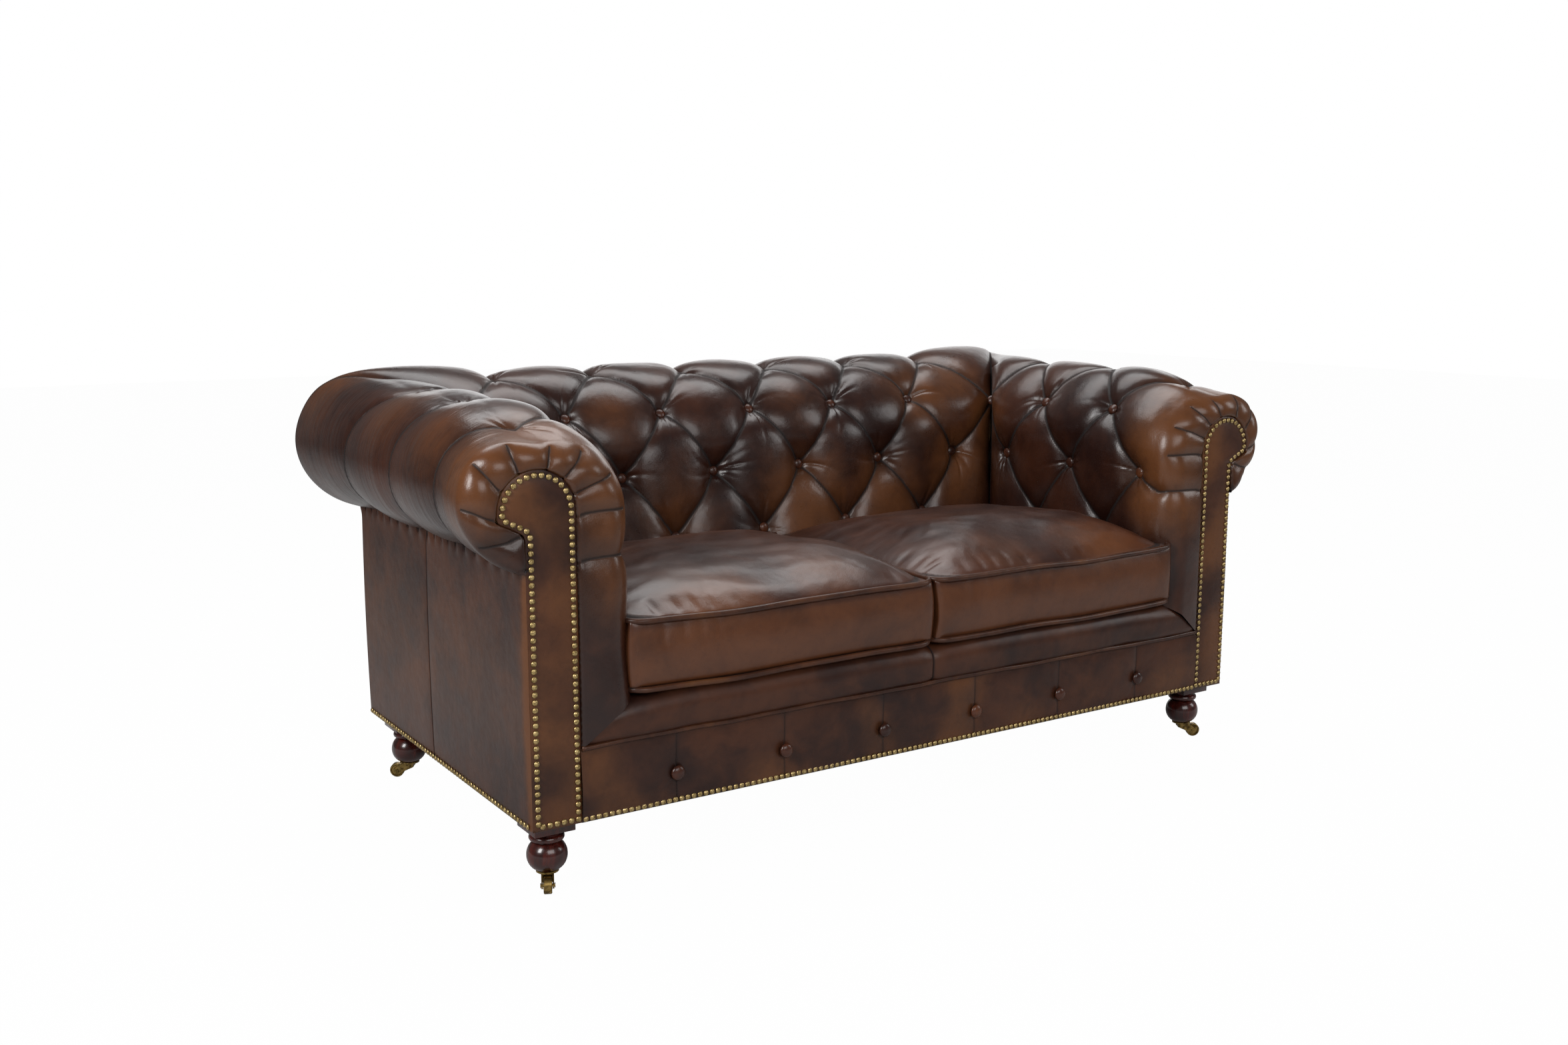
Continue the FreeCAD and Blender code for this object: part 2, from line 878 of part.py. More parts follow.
keep(solid_feature("back_upholstery", back_padding()), "back_upholstery")
arm_right = solid_feature("arm_upholstery_right", arm_padding())
keep(mirrored(arm_right, "arm_upholstery_left"), "arm_upholstery_left")
keep(arm_right, "arm_upholstery_right")

# Buttons
button = button_shape()
keep(
    solid_feature(
        "back_buttons",
        Part.makeCompound([standing(button, *tuft) for tuft in back_tufts + corner_tufts]),
    ),
    "back_buttons",
)
arm_buttons = solid_feature(
    "arm_buttons_right", Part.makeCompound([standing(button, *tuft) for tuft in arm_tufts])
)
keep(mirrored(arm_buttons, "arm_buttons_left"), "arm_buttons_left")
keep(arm_buttons, "arm_buttons_right")

# Outside covers and the dust cover below
panel_top_height = float(s.roll_height) - math.sqrt(
    float(s.roll_radius) ** 2 - float(s.roll_inset) ** 2
)
panel_top = Size(
    panel_top_height,
    "(Sizes.roll_height - sqrt(Sizes.roll_radius ^ 2 - Sizes.roll_inset ^ 2))",
)
for side_name, side in SIDES.items():
    keep(
        side_block(
            f"outside_arm_{side_name}",
            side,
            (side_rail_outer, facing_back, s.base_underside),
            (half_width, rear_rail_back, panel_top),
        ),
        f"outside_arm_{side_name}",
    )
keep(
    block(
        "outside_back",
        (-half_width, rear_rail_back, s.base_underside),
        (half_width, rear, panel_top),
    ),
    "outside_back",
)
dust_sheet = block(
    "dust_sheet",
    (-side_rail_outer, facing_back, s.base_underside - s.dust_cover_thick),
    (side_rail_outer, rear_rail_back, s.base_underside),
)
notches = []
notch_half = s.plinth_width / 2 + s.foot_notch_gap
for side_name, side in SIDES.items():
    for end_name, foot_y in ENDS.items():
        notches.append(
            side_block(
                f"notch_{end_name}_{side_name}",
                side,
                (
                    foot_x - notch_half,
                    foot_y - notch_half,
                    s.base_underside - 2 * s.dust_cover_thick,
                ),
                (
                    foot_x + notch_half,
                    foot_y + notch_half,
                    s.base_underside + s.dust_cover_thick,
                ),
            )
        )
dust_cover = doc.addObject("Part::Cut", "dust_cover")
dust_cover.Base = dust_sheet
dust_cover.Tool = group("foot_notches", notches)
keep(dust_cover, "dust_cover")

# Front border with its row of buttons, the welt above it and the seat's padded lip


def border_padding():
    low = point(-facing_inner, front, s.base_underside)
    panel = Part.makeBox(
        2 * float(facing_inner),
        float(s.border_thick),
        float(s.border_top - s.base_underside),
        low,
    )
    return only_solid(dimpled(panel, border_tufts, []))


border_floor = float(front + s.border_dimple_depth)
border_tufts = [
    (Vector(along, border_floor, float(s.border_button_height)), TO_FRONT)
    for along in half_pitches
]
keep(solid_feature("front_border", border_padding()), "front_border")
keep(
    solid_feature(
        "border_buttons",
        Part.makeCompound([standing(button, *tuft) for tuft in border_tufts]),
    ),
    "border_buttons",
)
welt = doc.addObject("Part::Cylinder", "border_welt")
tie(welt, "Radius", s.welt_radius)
tie(welt, "Height", 2 * facing_inner)
welt.Placement = FreeCAD.Placement(Vector(0, 0, 0), FreeCAD.Rotation(Vector(0, 1, 0), 90))
tie(welt, "Placement.Base.x", -facing_inner)
tie(welt, "Placement.Base.y", front + s.welt_centre_depth)
tie(welt, "Placement.Base.z", s.border_top + s.welt_radius)
keep(welt, "border_welt")

seat_lip = doc.addObject("PartDesign::Body", "seat_lip")
lip_back = front + s.lip_depth
lip_step = front + s.lip_foot_depth
lip_nose = front - s.lip_proud
lip_bend = s.lip_top - s.lip_bulge_height
pad(
    seat_lip,
    "lip_roll",
    [
        (front_rail_front, rail_top),
        (lip_step, rail_top),
        (lip_step, s.back_foot),
        (lip_back, s.back_foot),
        (lip_back, s.lip_top),
        (lip_nose + lip_bend, s.lip_top, lip_bend),
        (lip_nose, s.lip_bulge_height, lip_bend * 2),
        (front + s.welt_centre_depth, rail_top + s.welt_radius),
        (front_rail_front, rail_top + s.welt_radius),
    ],
    "YZ_Plane",
    2 * seat_half - 2 * s.fit_gap,
    both_ways=True,
)
keep(seat_lip, "seat_lip")
keep(
    block(
        "deck_pad",
        (-seat_half + s.fit_gap, lip_back, deck_underside),
        (seat_half - s.fit_gap, rear - s.back_thick, s.lip_top),
    ),
    "deck_pad",
)

# Zigzag seat springs, each a bent wire held by a clip at either end
wire_height = float(rail_top) + 2 * float(s.spring_wire_radius)
wave = float(s.spring_wave_width) / 2
step = float(s.spring_wave_pitch) / 2
waves_start = float(front_rail_back) + step
wave_count = int((float(rear_rail_front) - waves_start - step / 2) // (2 * step))
spring_start = float(front_rail_back - s.clip_depth)
spring_end = float(rear_rail_front + s.clip_depth)


def spring_path():
    """Straight ends joined by half circles that swing from side to side."""
    edges = []
    turn = step / 2
    slack = turn * (1 - math.sin(math.pi / 4))
    here = Vector(0, spring_start, wire_height)

    def line_to(across, along):
        nonlocal here
        target = Vector(across, along, wire_height)
        edges.append(Part.LineSegment(here, target).toShape())
        here = target

    def bend_to(across, along, bulge_across, bulge_along):
        nonlocal here
        target = Vector(across, along, wire_height)
        bulge = Vector(bulge_across, bulge_along, wire_height)
        edges.append(Part.Arc(here, bulge, target).toShape())
        here = target

    line_to(0, waves_start - turn)
    bend_to(turn, waves_start, slack, waves_start - slack)
    side = 1
    for _ in range(2 * wave_count):
        line_to(side * (wave - turn), here.y)
        bend_to(here.x, here.y + step, here.x + side * turn, here.y + turn)
        side = -side
    line_to(side * turn, here.y)
    bend_to(0, here.y + turn, side * -slack, here.y + slack)
    line_to(0, spring_end)
    return Part.Wire(edges)


def spring_shape():
    path = spring_path()
    circle = Part.Circle(
        Vector(0, spring_start, wire_height), Vector(0, 1, 0), float(s.spring_wire_radius)
    )
    section = Part.Wire(circle.toShape())
    return path.makePipeShell([section], True, False)


spring = spring_shape()
spring_count = int(float(s.spring_count))
spring_lines = [
    (index - (spring_count - 1) / 2) * float(s.spring_spacing) for index in range(spring_count)
]
springs = []
clips = []
clip_hole = float(s.spring_wire_radius) + float(s.running_gap)
for line_x in spring_lines:
    copy = spring.copy()
    copy.translate(Vector(line_x, 0, 0))
    springs.append(copy)
    for clip_y in (spring_start, spring_end - float(s.clip_depth)):
        clip = Part.makeBox(
            float(s.clip_width),
            float(s.clip_depth),
            float(s.clip_height),
            Vector(line_x - float(s.clip_width) / 2, clip_y, float(rail_top)),
        )
        hole = Part.makeCylinder(
            clip_hole,
            float(s.clip_depth) * 3,
            Vector(line_x, clip_y - float(s.clip_depth), wire_height),
            Vector(0, 1, 0),
        )
        clips.append(clip.cut(hole))
keep(solid_feature("seat_springs", Part.makeCompound(springs)), "seat_springs")
keep(solid_feature("spring_clips", Part.makeCompound(clips)), "spring_clips")

# Loose seat cushions: a sewn cover round a foam core


def crowned_block(low_x, high_x, low_y, high_y, foot, edge, crown, corner_round):
    """A box cushion: flat below, upright sides, and a top that crowns both ways."""

    def arch(start, end, turned):
        middle = (start + end) / 2

        def at(across, up):
            return Vector(middle, across, up) if turned else Vector(across, middle, up)

        profile = Part.Wire(
            [
                Part.LineSegment(at(start, edge), at(start, foot)).toShape(),
                Part.LineSegment(at(start, foot), at(end, foot)).toShape(),
                Part.LineSegment(at(end, foot), at(end, edge)).toShape(),
                Part.Arc(at(end, edge), at(middle, crown), at(start, edge)).toShape(),
            ]
        )
        return Part.Face(profile)

    across = arch(low_x, high_x, False)
    across.translate(Vector(0, low_y - (low_x + high_x) / 2, 0))
    across = across.extrude(Vector(0, high_y - low_y, 0))
    along = arch(low_y, high_y, True)
    along.translate(Vector(low_x - (low_y + high_y) / 2, 0, 0))
    along = along.extrude(Vector(high_x - low_x, 0, 0))
    cushion = only_solid(across.common(along))
    uprights = [
        edge_item
        for edge_item in cushion.Edges
        if abs(edge_item.BoundBox.ZLength) > (edge - foot) * 0.9
        and edge_item.BoundBox.XLength < 1e-3
        and edge_item.BoundBox.YLength < 1e-3
    ]
    return cushion.makeFillet(corner_round, uprights)


def cushion_pair():
    """The right cushion's cover and core."""
    wall = float(s.cover_wall)
    gap = float(s.fit_gap)
    low_x, high_x = float(s.cushion_gap), float(seat_half - s.cushion_gap)
    low_y, high_y = float(cushion_front), float(cushion_rear)
    foot = float(s.lip_top) + gap
    edge, crown = float(s.cushion_edge_height), float(s.cushion_crown_height)
    corner = float(s.cushion_corner_round)

    def inner(inset):
        return crowned_block(
            low_x + inset,
            high_x - inset,
            low_y + inset,
            high_y - inset,
            foot + inset,
            edge - inset,
            crown - inset,
            corner - inset,
        )

    outer = inner(0)
    return only_solid(outer.cut(inner(wall))), inner(wall + gap)


cover_shape, core_shape = cushion_pair()
for name, shape in (("cushion_cover", cover_shape), ("cushion_core", core_shape)):
    right_piece = solid_feature(f"{name}_right", shape)
    keep(mirrored(right_piece, f"{name}_left"), f"{name}_left")
    keep(right_piece, f"{name}_right")

# Upholstery nails: a domed brass head on a driven shank


def nail_shape():
    length = float(s.nail_shank_length)
    shank = Part.makeCylinder(float(s.nail_shank_radius), length, UP * -length)
    return dome(float(s.nail_head_radius), float(s.nail_head_height)).fuse(shank)


nail = nail_shape()


def evenly(start, end, wanted_pitch):
    """Places from start to end at about the wanted pitch."""
    count = max(1, round(abs(end - start) / wanted_pitch))
    return [start + (end - start) * index / count for index in range(count + 1)]


margin = float(s.nail_margin)
nail_path = facing_wire.makeOffset2D(-margin)
path_count = round(nail_path.Length / float(s.facing_nail_pitch))
path_points = nail_path.discretize(Number=path_count + 1)[:-1]
facing_nails = solid_feature(
    "facing_nails_right",
    Part.makeCompound(
        [standing(nail, Vector(p.x, float(front), p.z), TO_FRONT) for p in path_points]
    ),
)
keep(mirrored(facing_nails, "facing_nails_left"), "facing_nails_left")
keep(facing_nails, "facing_nails_right")

nail_line = float(s.nail_line_height)
base_nails = []
border_end = float(facing_inner) - margin / 2
for along in evenly(-border_end, border_end, float(s.border_nail_pitch)):
    base_nails.append(standing(nail, Vector(along, float(front), nail_line), TO_FRONT))
side_start = float(facing_back) + margin
side_end = float(rear) - margin
for along in evenly(side_start, side_end, float(s.side_nail_pitch)):
    for side in SIDES.values():
        place = Vector(side * float(half_width), along, nail_line)
        base_nails.append(standing(nail, place, Vector(side, 0, 0)))
rear_end = float(half_width) - margin
for along in evenly(-rear_end, rear_end, float(s.side_nail_pitch)):
    place = Vector(along, float(rear), nail_line)
    base_nails.append(standing(nail, place, Vector(0, 1, 0)))
keep(solid_feature("base_nails", Part.makeCompound(base_nails)), "base_nails")

# Feet: a square plinth, a bead and a bun, turned from one piece


def turned_foot(name, side, foot_y):
    body = doc.addObject("PartDesign::Body", name)
    revolve(
        body,
        f"{name}_turning",
        [
            (ZERO, s.foot_underside),
            (s.bun_seat_radius, s.foot_underside, s.bun_round),
            (s.foot_groove_radius, s.foot_groove_height),
            (s.foot_bead_radius - 2, s.foot_groove_height + 1),
            (s.foot_bead_radius, s.foot_groove_height + 5),
            (s.foot_bead_radius, s.foot_bead_height - 5),
            (s.foot_neck_radius + 2, s.foot_bead_height),
            (s.foot_neck_radius, s.foot_bead_height + 2),
            (s.foot_neck_radius, s.plinth_underside),
            (ZERO, s.plinth_underside),
        ],
        "XZ_Plane",
    )
    half = s.plinth_width / 2
    pad(
        body,
        f"{name}_plinth",
        [(-half, -half), (half, -half), (half, half), (-half, half)],
        "XY_Plane",
        s.base_underside - s.plinth_underside,
        lift=s.plinth_underside,
    )
    pocket_disc(
        body,
        f"{name}_bolt_hole",
        "XY_Plane",
        ZERO,
        ZERO,
        s.foot_bolt_radius + s.running_gap,
        s.base_underside - s.foot_bolt_foot_height,
        lift=s.foot_bolt_foot_height,
    )
    pocket_disc(
        body,
        f"{name}_castor_hole",
        "XY_Plane",
        ZERO,
        ZERO,
        s.castor_stem_radius + s.running_gap,
        s.castor_stem_length + s.swivel_gap,
        lift=s.foot_underside,
    )
    tie(body, "Placement.Base.x", side * foot_x)
    tie(body, "Placement.Base.y", foot_y)
    return body


def castor_plate(name, side, foot_y):
    """The fixed plate, with its stem up in the foot and the swivel pin with its rivet below."""
    body = doc.addObject("PartDesign::Body", name)
    hub_foot = s.foot_underside - s.castor_plate_thick - s.swivel_gap - s.castor_hub_height
    rivet_top = hub_foot - s.swivel_gap
    revolve(
        body,
        f"{name}_turning",
        [
            (ZERO, rivet_top - s.castor_rivet_height),
            (s.castor_rivet_radius, rivet_top - s.castor_rivet_height),
            (s.castor_rivet_radius, rivet_top),
            (s.castor_pin_radius, rivet_top),
            (s.castor_pin_radius, s.foot_underside - s.castor_plate_thick),
            (s.castor_plate_radius, s.foot_underside - s.castor_plate_thick),
            (s.castor_plate_radius, s.foot_underside),
            (s.castor_stem_radius, s.foot_underside),
            (s.castor_stem_radius, s.foot_underside + s.castor_stem_length),
            (ZERO, s.foot_underside + s.castor_stem_length),
        ],
        "XZ_Plane",
    )
    tie(body, "Placement.Base.x", side * foot_x)
    tie(body, "Placement.Base.y", foot_y)
    return body


fork_half = s.wheel_width / 2 + s.wheel_side_gap
horn_half = fork_half + s.horn_arm_thick


def castor_body(name, side, foot_y, turn):
    """A body drawn about the swivel line, with the wheel trailing along its own +X."""
    body = doc.addObject("PartDesign::Body", name)
    body.Placement = FreeCAD.Placement(
        Vector(0, 0, 0), FreeCAD.Rotation(Vector(0, 0, 1), float(turn))
    )
    tie(body, "Placement.Base.x", side * foot_x)
    tie(body, "Placement.Base.y", foot_y)
    tie(body, "Placement.Rotation.Angle", turn)
    return body


def castor_horn(body, name):
    hub_top = s.foot_underside - s.castor_plate_thick - s.swivel_gap
    hub_foot = hub_top - s.castor_hub_height
    eye_end = s.castor_trail + s.horn_eye_radius
    eye_low = s.wheel_radius - s.horn_eye_radius
    pad(
        body,
        f"{name}_cheeks",
        [
            (-s.castor_hub_radius + s.horn_hub_margin, hub_top),
            (-s.castor_hub_radius + s.horn_hub_margin, hub_foot),
            (s.castor_trail - s.horn_eye_radius, eye_low + 1),
            (s.castor_trail, eye_low, s.horn_eye_radius * 1.2),
            (eye_end, s.wheel_radius + s.horn_wheel_margin),
            (s.castor_hub_radius + s.horn_wheel_margin, hub_top),
        ],
        "XZ_Plane",
        2 * horn_half,
        both_ways=True,
    )
    slot_start = s.castor_trail - s.wheel_radius - 2 * s.wheel_side_gap
    sketch = new_sketch(body, f"{name}_slot_outline", "XY_Plane")
    draw_outline(
        sketch,
        [
            (slot_start, -fork_half),
            (eye_end * 2, -fork_half),
            (eye_end * 2, fork_half),
            (slot_start, fork_half),
        ],
    )
    slot = body.newObject("PartDesign::Pocket", f"{name}_slot")
    slot.Profile = sketch
    tie(slot, "Length", s.foot_underside)
    slot.Reversed = True
    # The rivet head below the hub has its own room between the cheeks
    pocket_disc(
        body,
        f"{name}_rivet_room",
        "XY_Plane",
        ZERO,
        ZERO,
        s.castor_rivet_radius + s.swivel_gap,
        hub_foot,
    )
    pocket_disc(
        body,
        f"{name}_pin_bore",
        "XY_Plane",
        ZERO,
        ZERO,
        s.castor_pin_radius + s.running_gap,
        s.foot_underside,
    )
    pocket_disc(
        body,
        f"{name}_axle_bore",
        "XZ_Plane",
        s.castor_trail,
        s.wheel_radius,
        s.axle_radius + s.running_gap,
        4 * horn_half,
        both_ways=True,
    )
    return body


def castor_axle(body, name):
    shank = s.castor_trail + s.axle_radius
    head = s.castor_trail + s.axle_head_radius
    inner = horn_half + s.swivel_gap
    outer = inner + s.axle_head_thick
    revolve(
        body,
        f"{name}_turning",
        [
            (s.castor_trail, -outer),
            (head, -outer),
            (head, -inner),
            (shank, -inner),
            (shank, inner),
            (head, inner),
            (head, outer),
            (s.castor_trail, outer),
        ],
        "XY_Plane",
        axis_across=s.castor_trail,
        lift=s.wheel_radius,
    )
    return body


def castor_wheel(body, name):
    half = s.wheel_width / 2
    bore = s.castor_trail + s.axle_radius + s.running_gap
    hub = s.castor_trail + s.wheel_hub_radius
    rim_inner = s.castor_trail + s.wheel_radius - s.wheel_rim
    tread = s.castor_trail + s.wheel_radius
    dish = half - s.wheel_dish
    soft = s.wheel_rim / 2
    revolve(
        body,
        f"{name}_turning",
        [
            (bore, -half),
            (hub, -half),
            (hub + 1, -dish),
            (rim_inner - 1, -dish),
            (rim_inner, -half + 0.5),
            (tread - soft, -half + 0.5),
            (tread, -half + 0.5 + soft),
            (tread, half - 0.5 - soft),
            (tread - soft, half - 0.5),
            (rim_inner, half - 0.5),
            (rim_inner - 1, dish),
            (hub + 1, dish),
            (hub, half),
            (bore, half),
        ],
        "XY_Plane",
        axis_across=s.castor_trail,
        lift=s.wheel_radius,
    )
    return body


turns = {
    "front_left": s.turn_front_left,
    "front_right": s.turn_front_right,
    "rear_left": s.turn_rear_left,
    "rear_right": s.turn_rear_right,
}
bolts, plates = [], []
for end_name, foot_y in ENDS.items():
    for side_name, side in SIDES.items():
        corner = f"{end_name}_{side_name}"
        keep(turned_foot(f"foot_{corner}", side, foot_y), f"foot_{corner}")
        bolt = doc.addObject("Part::Cylinder", f"bolt_{corner}")
        tie(bolt, "Radius", s.foot_bolt_radius)
        tie(bolt, "Height", s.foot_bolt_length)
        tie(bolt, "Placement.Base.x", side * foot_x)
        tie(bolt, "Placement.Base.y", foot_y)
        tie(bolt, "Placement.Base.z", s.foot_bolt_foot_height)
        bolts.append(bolt)
        plates.append(castor_plate(f"plate_{corner}", side, foot_y))
        for piece, make in {
            "castor_horn": castor_horn,
            "castor_axle": castor_axle,
            "castor_wheel": castor_wheel,
        }.items():
            name = f"{piece}_{corner}"
            body = castor_body(name, side, foot_y, turns[corner])
            keep(make(body, name), name)
keep(group("foot_bolts", bolts), "foot_bolts")
keep(group("castor_plates", plates), "castor_plates")

doc.recompute()

# Check every feature and every sub-part before anything is written
for item in doc.Objects:
    faults = [word for word in item.State if word in ("Invalid", "Error")]
    if faults:
        raise ValueError(f"{item.Label} is {faults}")
for piece in parts:
    if piece.Shape.isNull() or not piece.Shape.isValid():
        raise ValueError(f"{piece.Label} has no valid shape")
    if not piece.Shape.Solids:
        raise ValueError(f"{piece.Label} has no solid")

for piece in parts:
    piece.Shape.exportStep(f"parts/{piece.Label}.step")

whole = Part.makeCompound([piece.Shape for piece in parts]).BoundBox
print(f"{len(parts)} sub-parts, {whole.XLength:.1f} x {whole.YLength:.1f} x {whole.ZLength:.1f} mm")
print(f"middle {whole.Center.x:.2f}, {whole.Center.y:.2f}, foot {whole.ZMin:.2f}")
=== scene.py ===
# %% [markdown]
# A chesterfield sofa, dressed in leather
#
# The frame of this sofa comes ready made: rails, springs, buttons, nails, feet and castors,
# each at its real size. What is missing is its skin. This lesson makes the buttoned leather of
# the back and arms, the pleated scroll fronts, the loose cushions and every finish, and hangs
# them on that frame. Everything is in metres, with the front towards -Y and the floor at Z = 0.

# %% The frame
import math

import bmesh
import bpy
import numpy as np
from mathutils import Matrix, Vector, noise


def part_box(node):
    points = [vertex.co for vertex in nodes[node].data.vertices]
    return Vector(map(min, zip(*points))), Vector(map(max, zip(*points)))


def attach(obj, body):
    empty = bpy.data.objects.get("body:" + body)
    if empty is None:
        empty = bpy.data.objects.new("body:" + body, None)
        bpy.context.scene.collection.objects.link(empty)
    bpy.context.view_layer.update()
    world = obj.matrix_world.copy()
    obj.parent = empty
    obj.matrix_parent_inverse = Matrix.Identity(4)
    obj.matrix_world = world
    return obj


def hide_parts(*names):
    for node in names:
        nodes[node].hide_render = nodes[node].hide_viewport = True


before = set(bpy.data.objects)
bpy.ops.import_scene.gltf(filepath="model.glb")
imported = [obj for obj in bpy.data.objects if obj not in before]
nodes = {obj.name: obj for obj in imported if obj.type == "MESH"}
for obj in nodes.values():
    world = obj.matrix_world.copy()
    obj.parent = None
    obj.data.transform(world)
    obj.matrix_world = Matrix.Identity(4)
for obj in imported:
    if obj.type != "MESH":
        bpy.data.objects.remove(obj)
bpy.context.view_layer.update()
bpy.ops.object.select_all(action="DESELECT")

# %% [markdown]
# The camera
#
# The sofa is seen from its left front corner, a little above the arms. The camera's place was
# found by matching the corners of the sofa to the lines of the picture, so that the arms, the
# back and the feet foreshorten as they should. A wider lens from closer by would make the near
# arm loom, and a longer one would flatten the sofa.

# %% The camera
CAMERA_PLACE = (-1.709, -2.555, 1.004)
CAMERA_PITCH = 80.46
CAMERA_YAW = -33.21
CAMERA_LENS = 34.5

bpy.ops.object.camera_add(
    location=CAMERA_PLACE,
    rotation=(math.radians(CAMERA_PITCH), 0, math.radians(CAMERA_YAW)),
)
camera = bpy.context.object
camera.data.lens = CAMERA_LENS
bpy.context.scene.camera = camera
bpy.context.scene.view_settings.view_transform = "Standard"
print("camera at", CAMERA_PLACE)

# %% [markdown]
# Sums in the shader
#
# A finish is a recipe of nodes. Wiring them by hand is slow to read, so a small class stands
# for a number that the shader works out. Python's own signs then add the Math nodes, and
# 1 - mask means what it says. One method adds any other node.


# %% Sums in the shader
class Amount:
    """A number, colour or direction that the shader works out."""

    def __init__(self, finish, socket):
        self.finish = finish
        self.socket = socket

    def _sum(self, operation, first, second):
        return self.finish.node("ShaderNodeMath", {"operation": operation}, {0: first, 1: second})

    def __add__(self, other):
        return self._sum("ADD", self, other)

    def __radd__(self, other):
        return self._sum("ADD", other, self)

    def __sub__(self, other):
        return self._sum("SUBTRACT", self, other)

    def __rsub__(self, other):
        return self._sum("SUBTRACT", other, self)

    def __mul__(self, other):
        return self._sum("MULTIPLY", self, other)

    def __rmul__(self, other):
        return self._sum("MULTIPLY", other, self)


class Finish:
    """A material, and the nodes that make it."""

    def __init__(self, name):
        self.material = bpy.data.materials.new(name)
        self.material.use_nodes = True
        self.tree = self.material.node_tree
        self.shader = self.tree.nodes["Principled BSDF"]

    def plug(self, socket, value):
        if isinstance(value, Amount):
            self.tree.links.new(value.socket, socket)
        else:
            socket.default_value = value

    def node(self, kind, settings, inputs, output=0):
        made = self.tree.nodes.new(kind)
        for name, value in settings.items():
            setattr(made, name, value)
        for name, value in inputs.items():
            self.plug(made.inputs[name], value)
        return Amount(self, made.outputs[output])

    def feed(self, **sockets):
        """Values or links for the shader's own sockets, named in lower case with _ for a space."""
        for name, value in sockets.items():
            self.plug(self.shader.inputs[name.replace("_", " ").title().replace("Ior", "IOR")], value)

    def coordinates(self, kind="Object"):
        return self.node("ShaderNodeTexCoord", {}, {}, kind)

    def stretched(self, vector, scale):
        return self.node("ShaderNodeMapping", {}, {"Vector": vector, "Scale": scale})

    def speckle(self, vector, scale, detail=3.0, roughness=0.55, distortion=0.0):
        wanted = {
            "Vector": vector,
            "Scale": scale,
            "Detail": detail,
            "Roughness": roughness,
            "Distortion": distortion,
        }
        return self.node("ShaderNodeTexNoise", {}, wanted)

    def cells(self, vector, scale, feature="F1", output="Distance"):
        settings = {"feature": feature}
        return self.node("ShaderNodeTexVoronoi", settings, {"Vector": vector, "Scale": scale}, output)

    def steps(self, amount, low, high):
        """0 below low, 1 above high, and smooth in between."""
        settings = {"interpolation_type": "SMOOTHSTEP"}
        return self.node("ShaderNodeMapRange", settings, {0: amount, 1: low, 2: high})

    def mix(self, share, first, second):
        settings = {"data_type": "RGBA"}
        return self.node("ShaderNodeMix", settings, {0: share, 6: first, 7: second}, 2)

    def painted(self, name):
        """A number that the mesh itself carries, point by point."""
        return self.node("ShaderNodeAttribute", {"attribute_name": name}, {}, "Fac")

    def bumps(self, height, distance, strength=1.0, under=None):
        inputs = {"Height": height, "Distance": distance, "Strength": strength}
        if under is not None:
            inputs["Normal"] = under
        return self.node("ShaderNodeBump", {}, inputs)


def colour(code):
    """The shader's colour for a code such as 6a3f22."""
    parts = [int(code[place : place + 2], 16) / 255 for place in (0, 2, 4)]
    linear = [part / 12.92 if part <= 0.04045 else ((part + 0.055) / 1.055) ** 2.4 for part in parts]
    return (*linear, 1.0)


print("shader sums ready")

# %% [markdown]
# Antiqued leather
#
# The hide is dyed dark, waxed, and rubbed back by hand, so it is chocolate brown, and tan
# where it is stretched or handled, with a soft gloss. Its colour is a cloudy mix of two browns
# and a tan that follows a number painted on each mesh (rub). Shade is painted in as well: the
# leather is darker where it dips into a fold (puff is 0 there), and a near-black painted shadow
# line runs along each fold (line is 0 there). The grain is only felt as a fine bump.


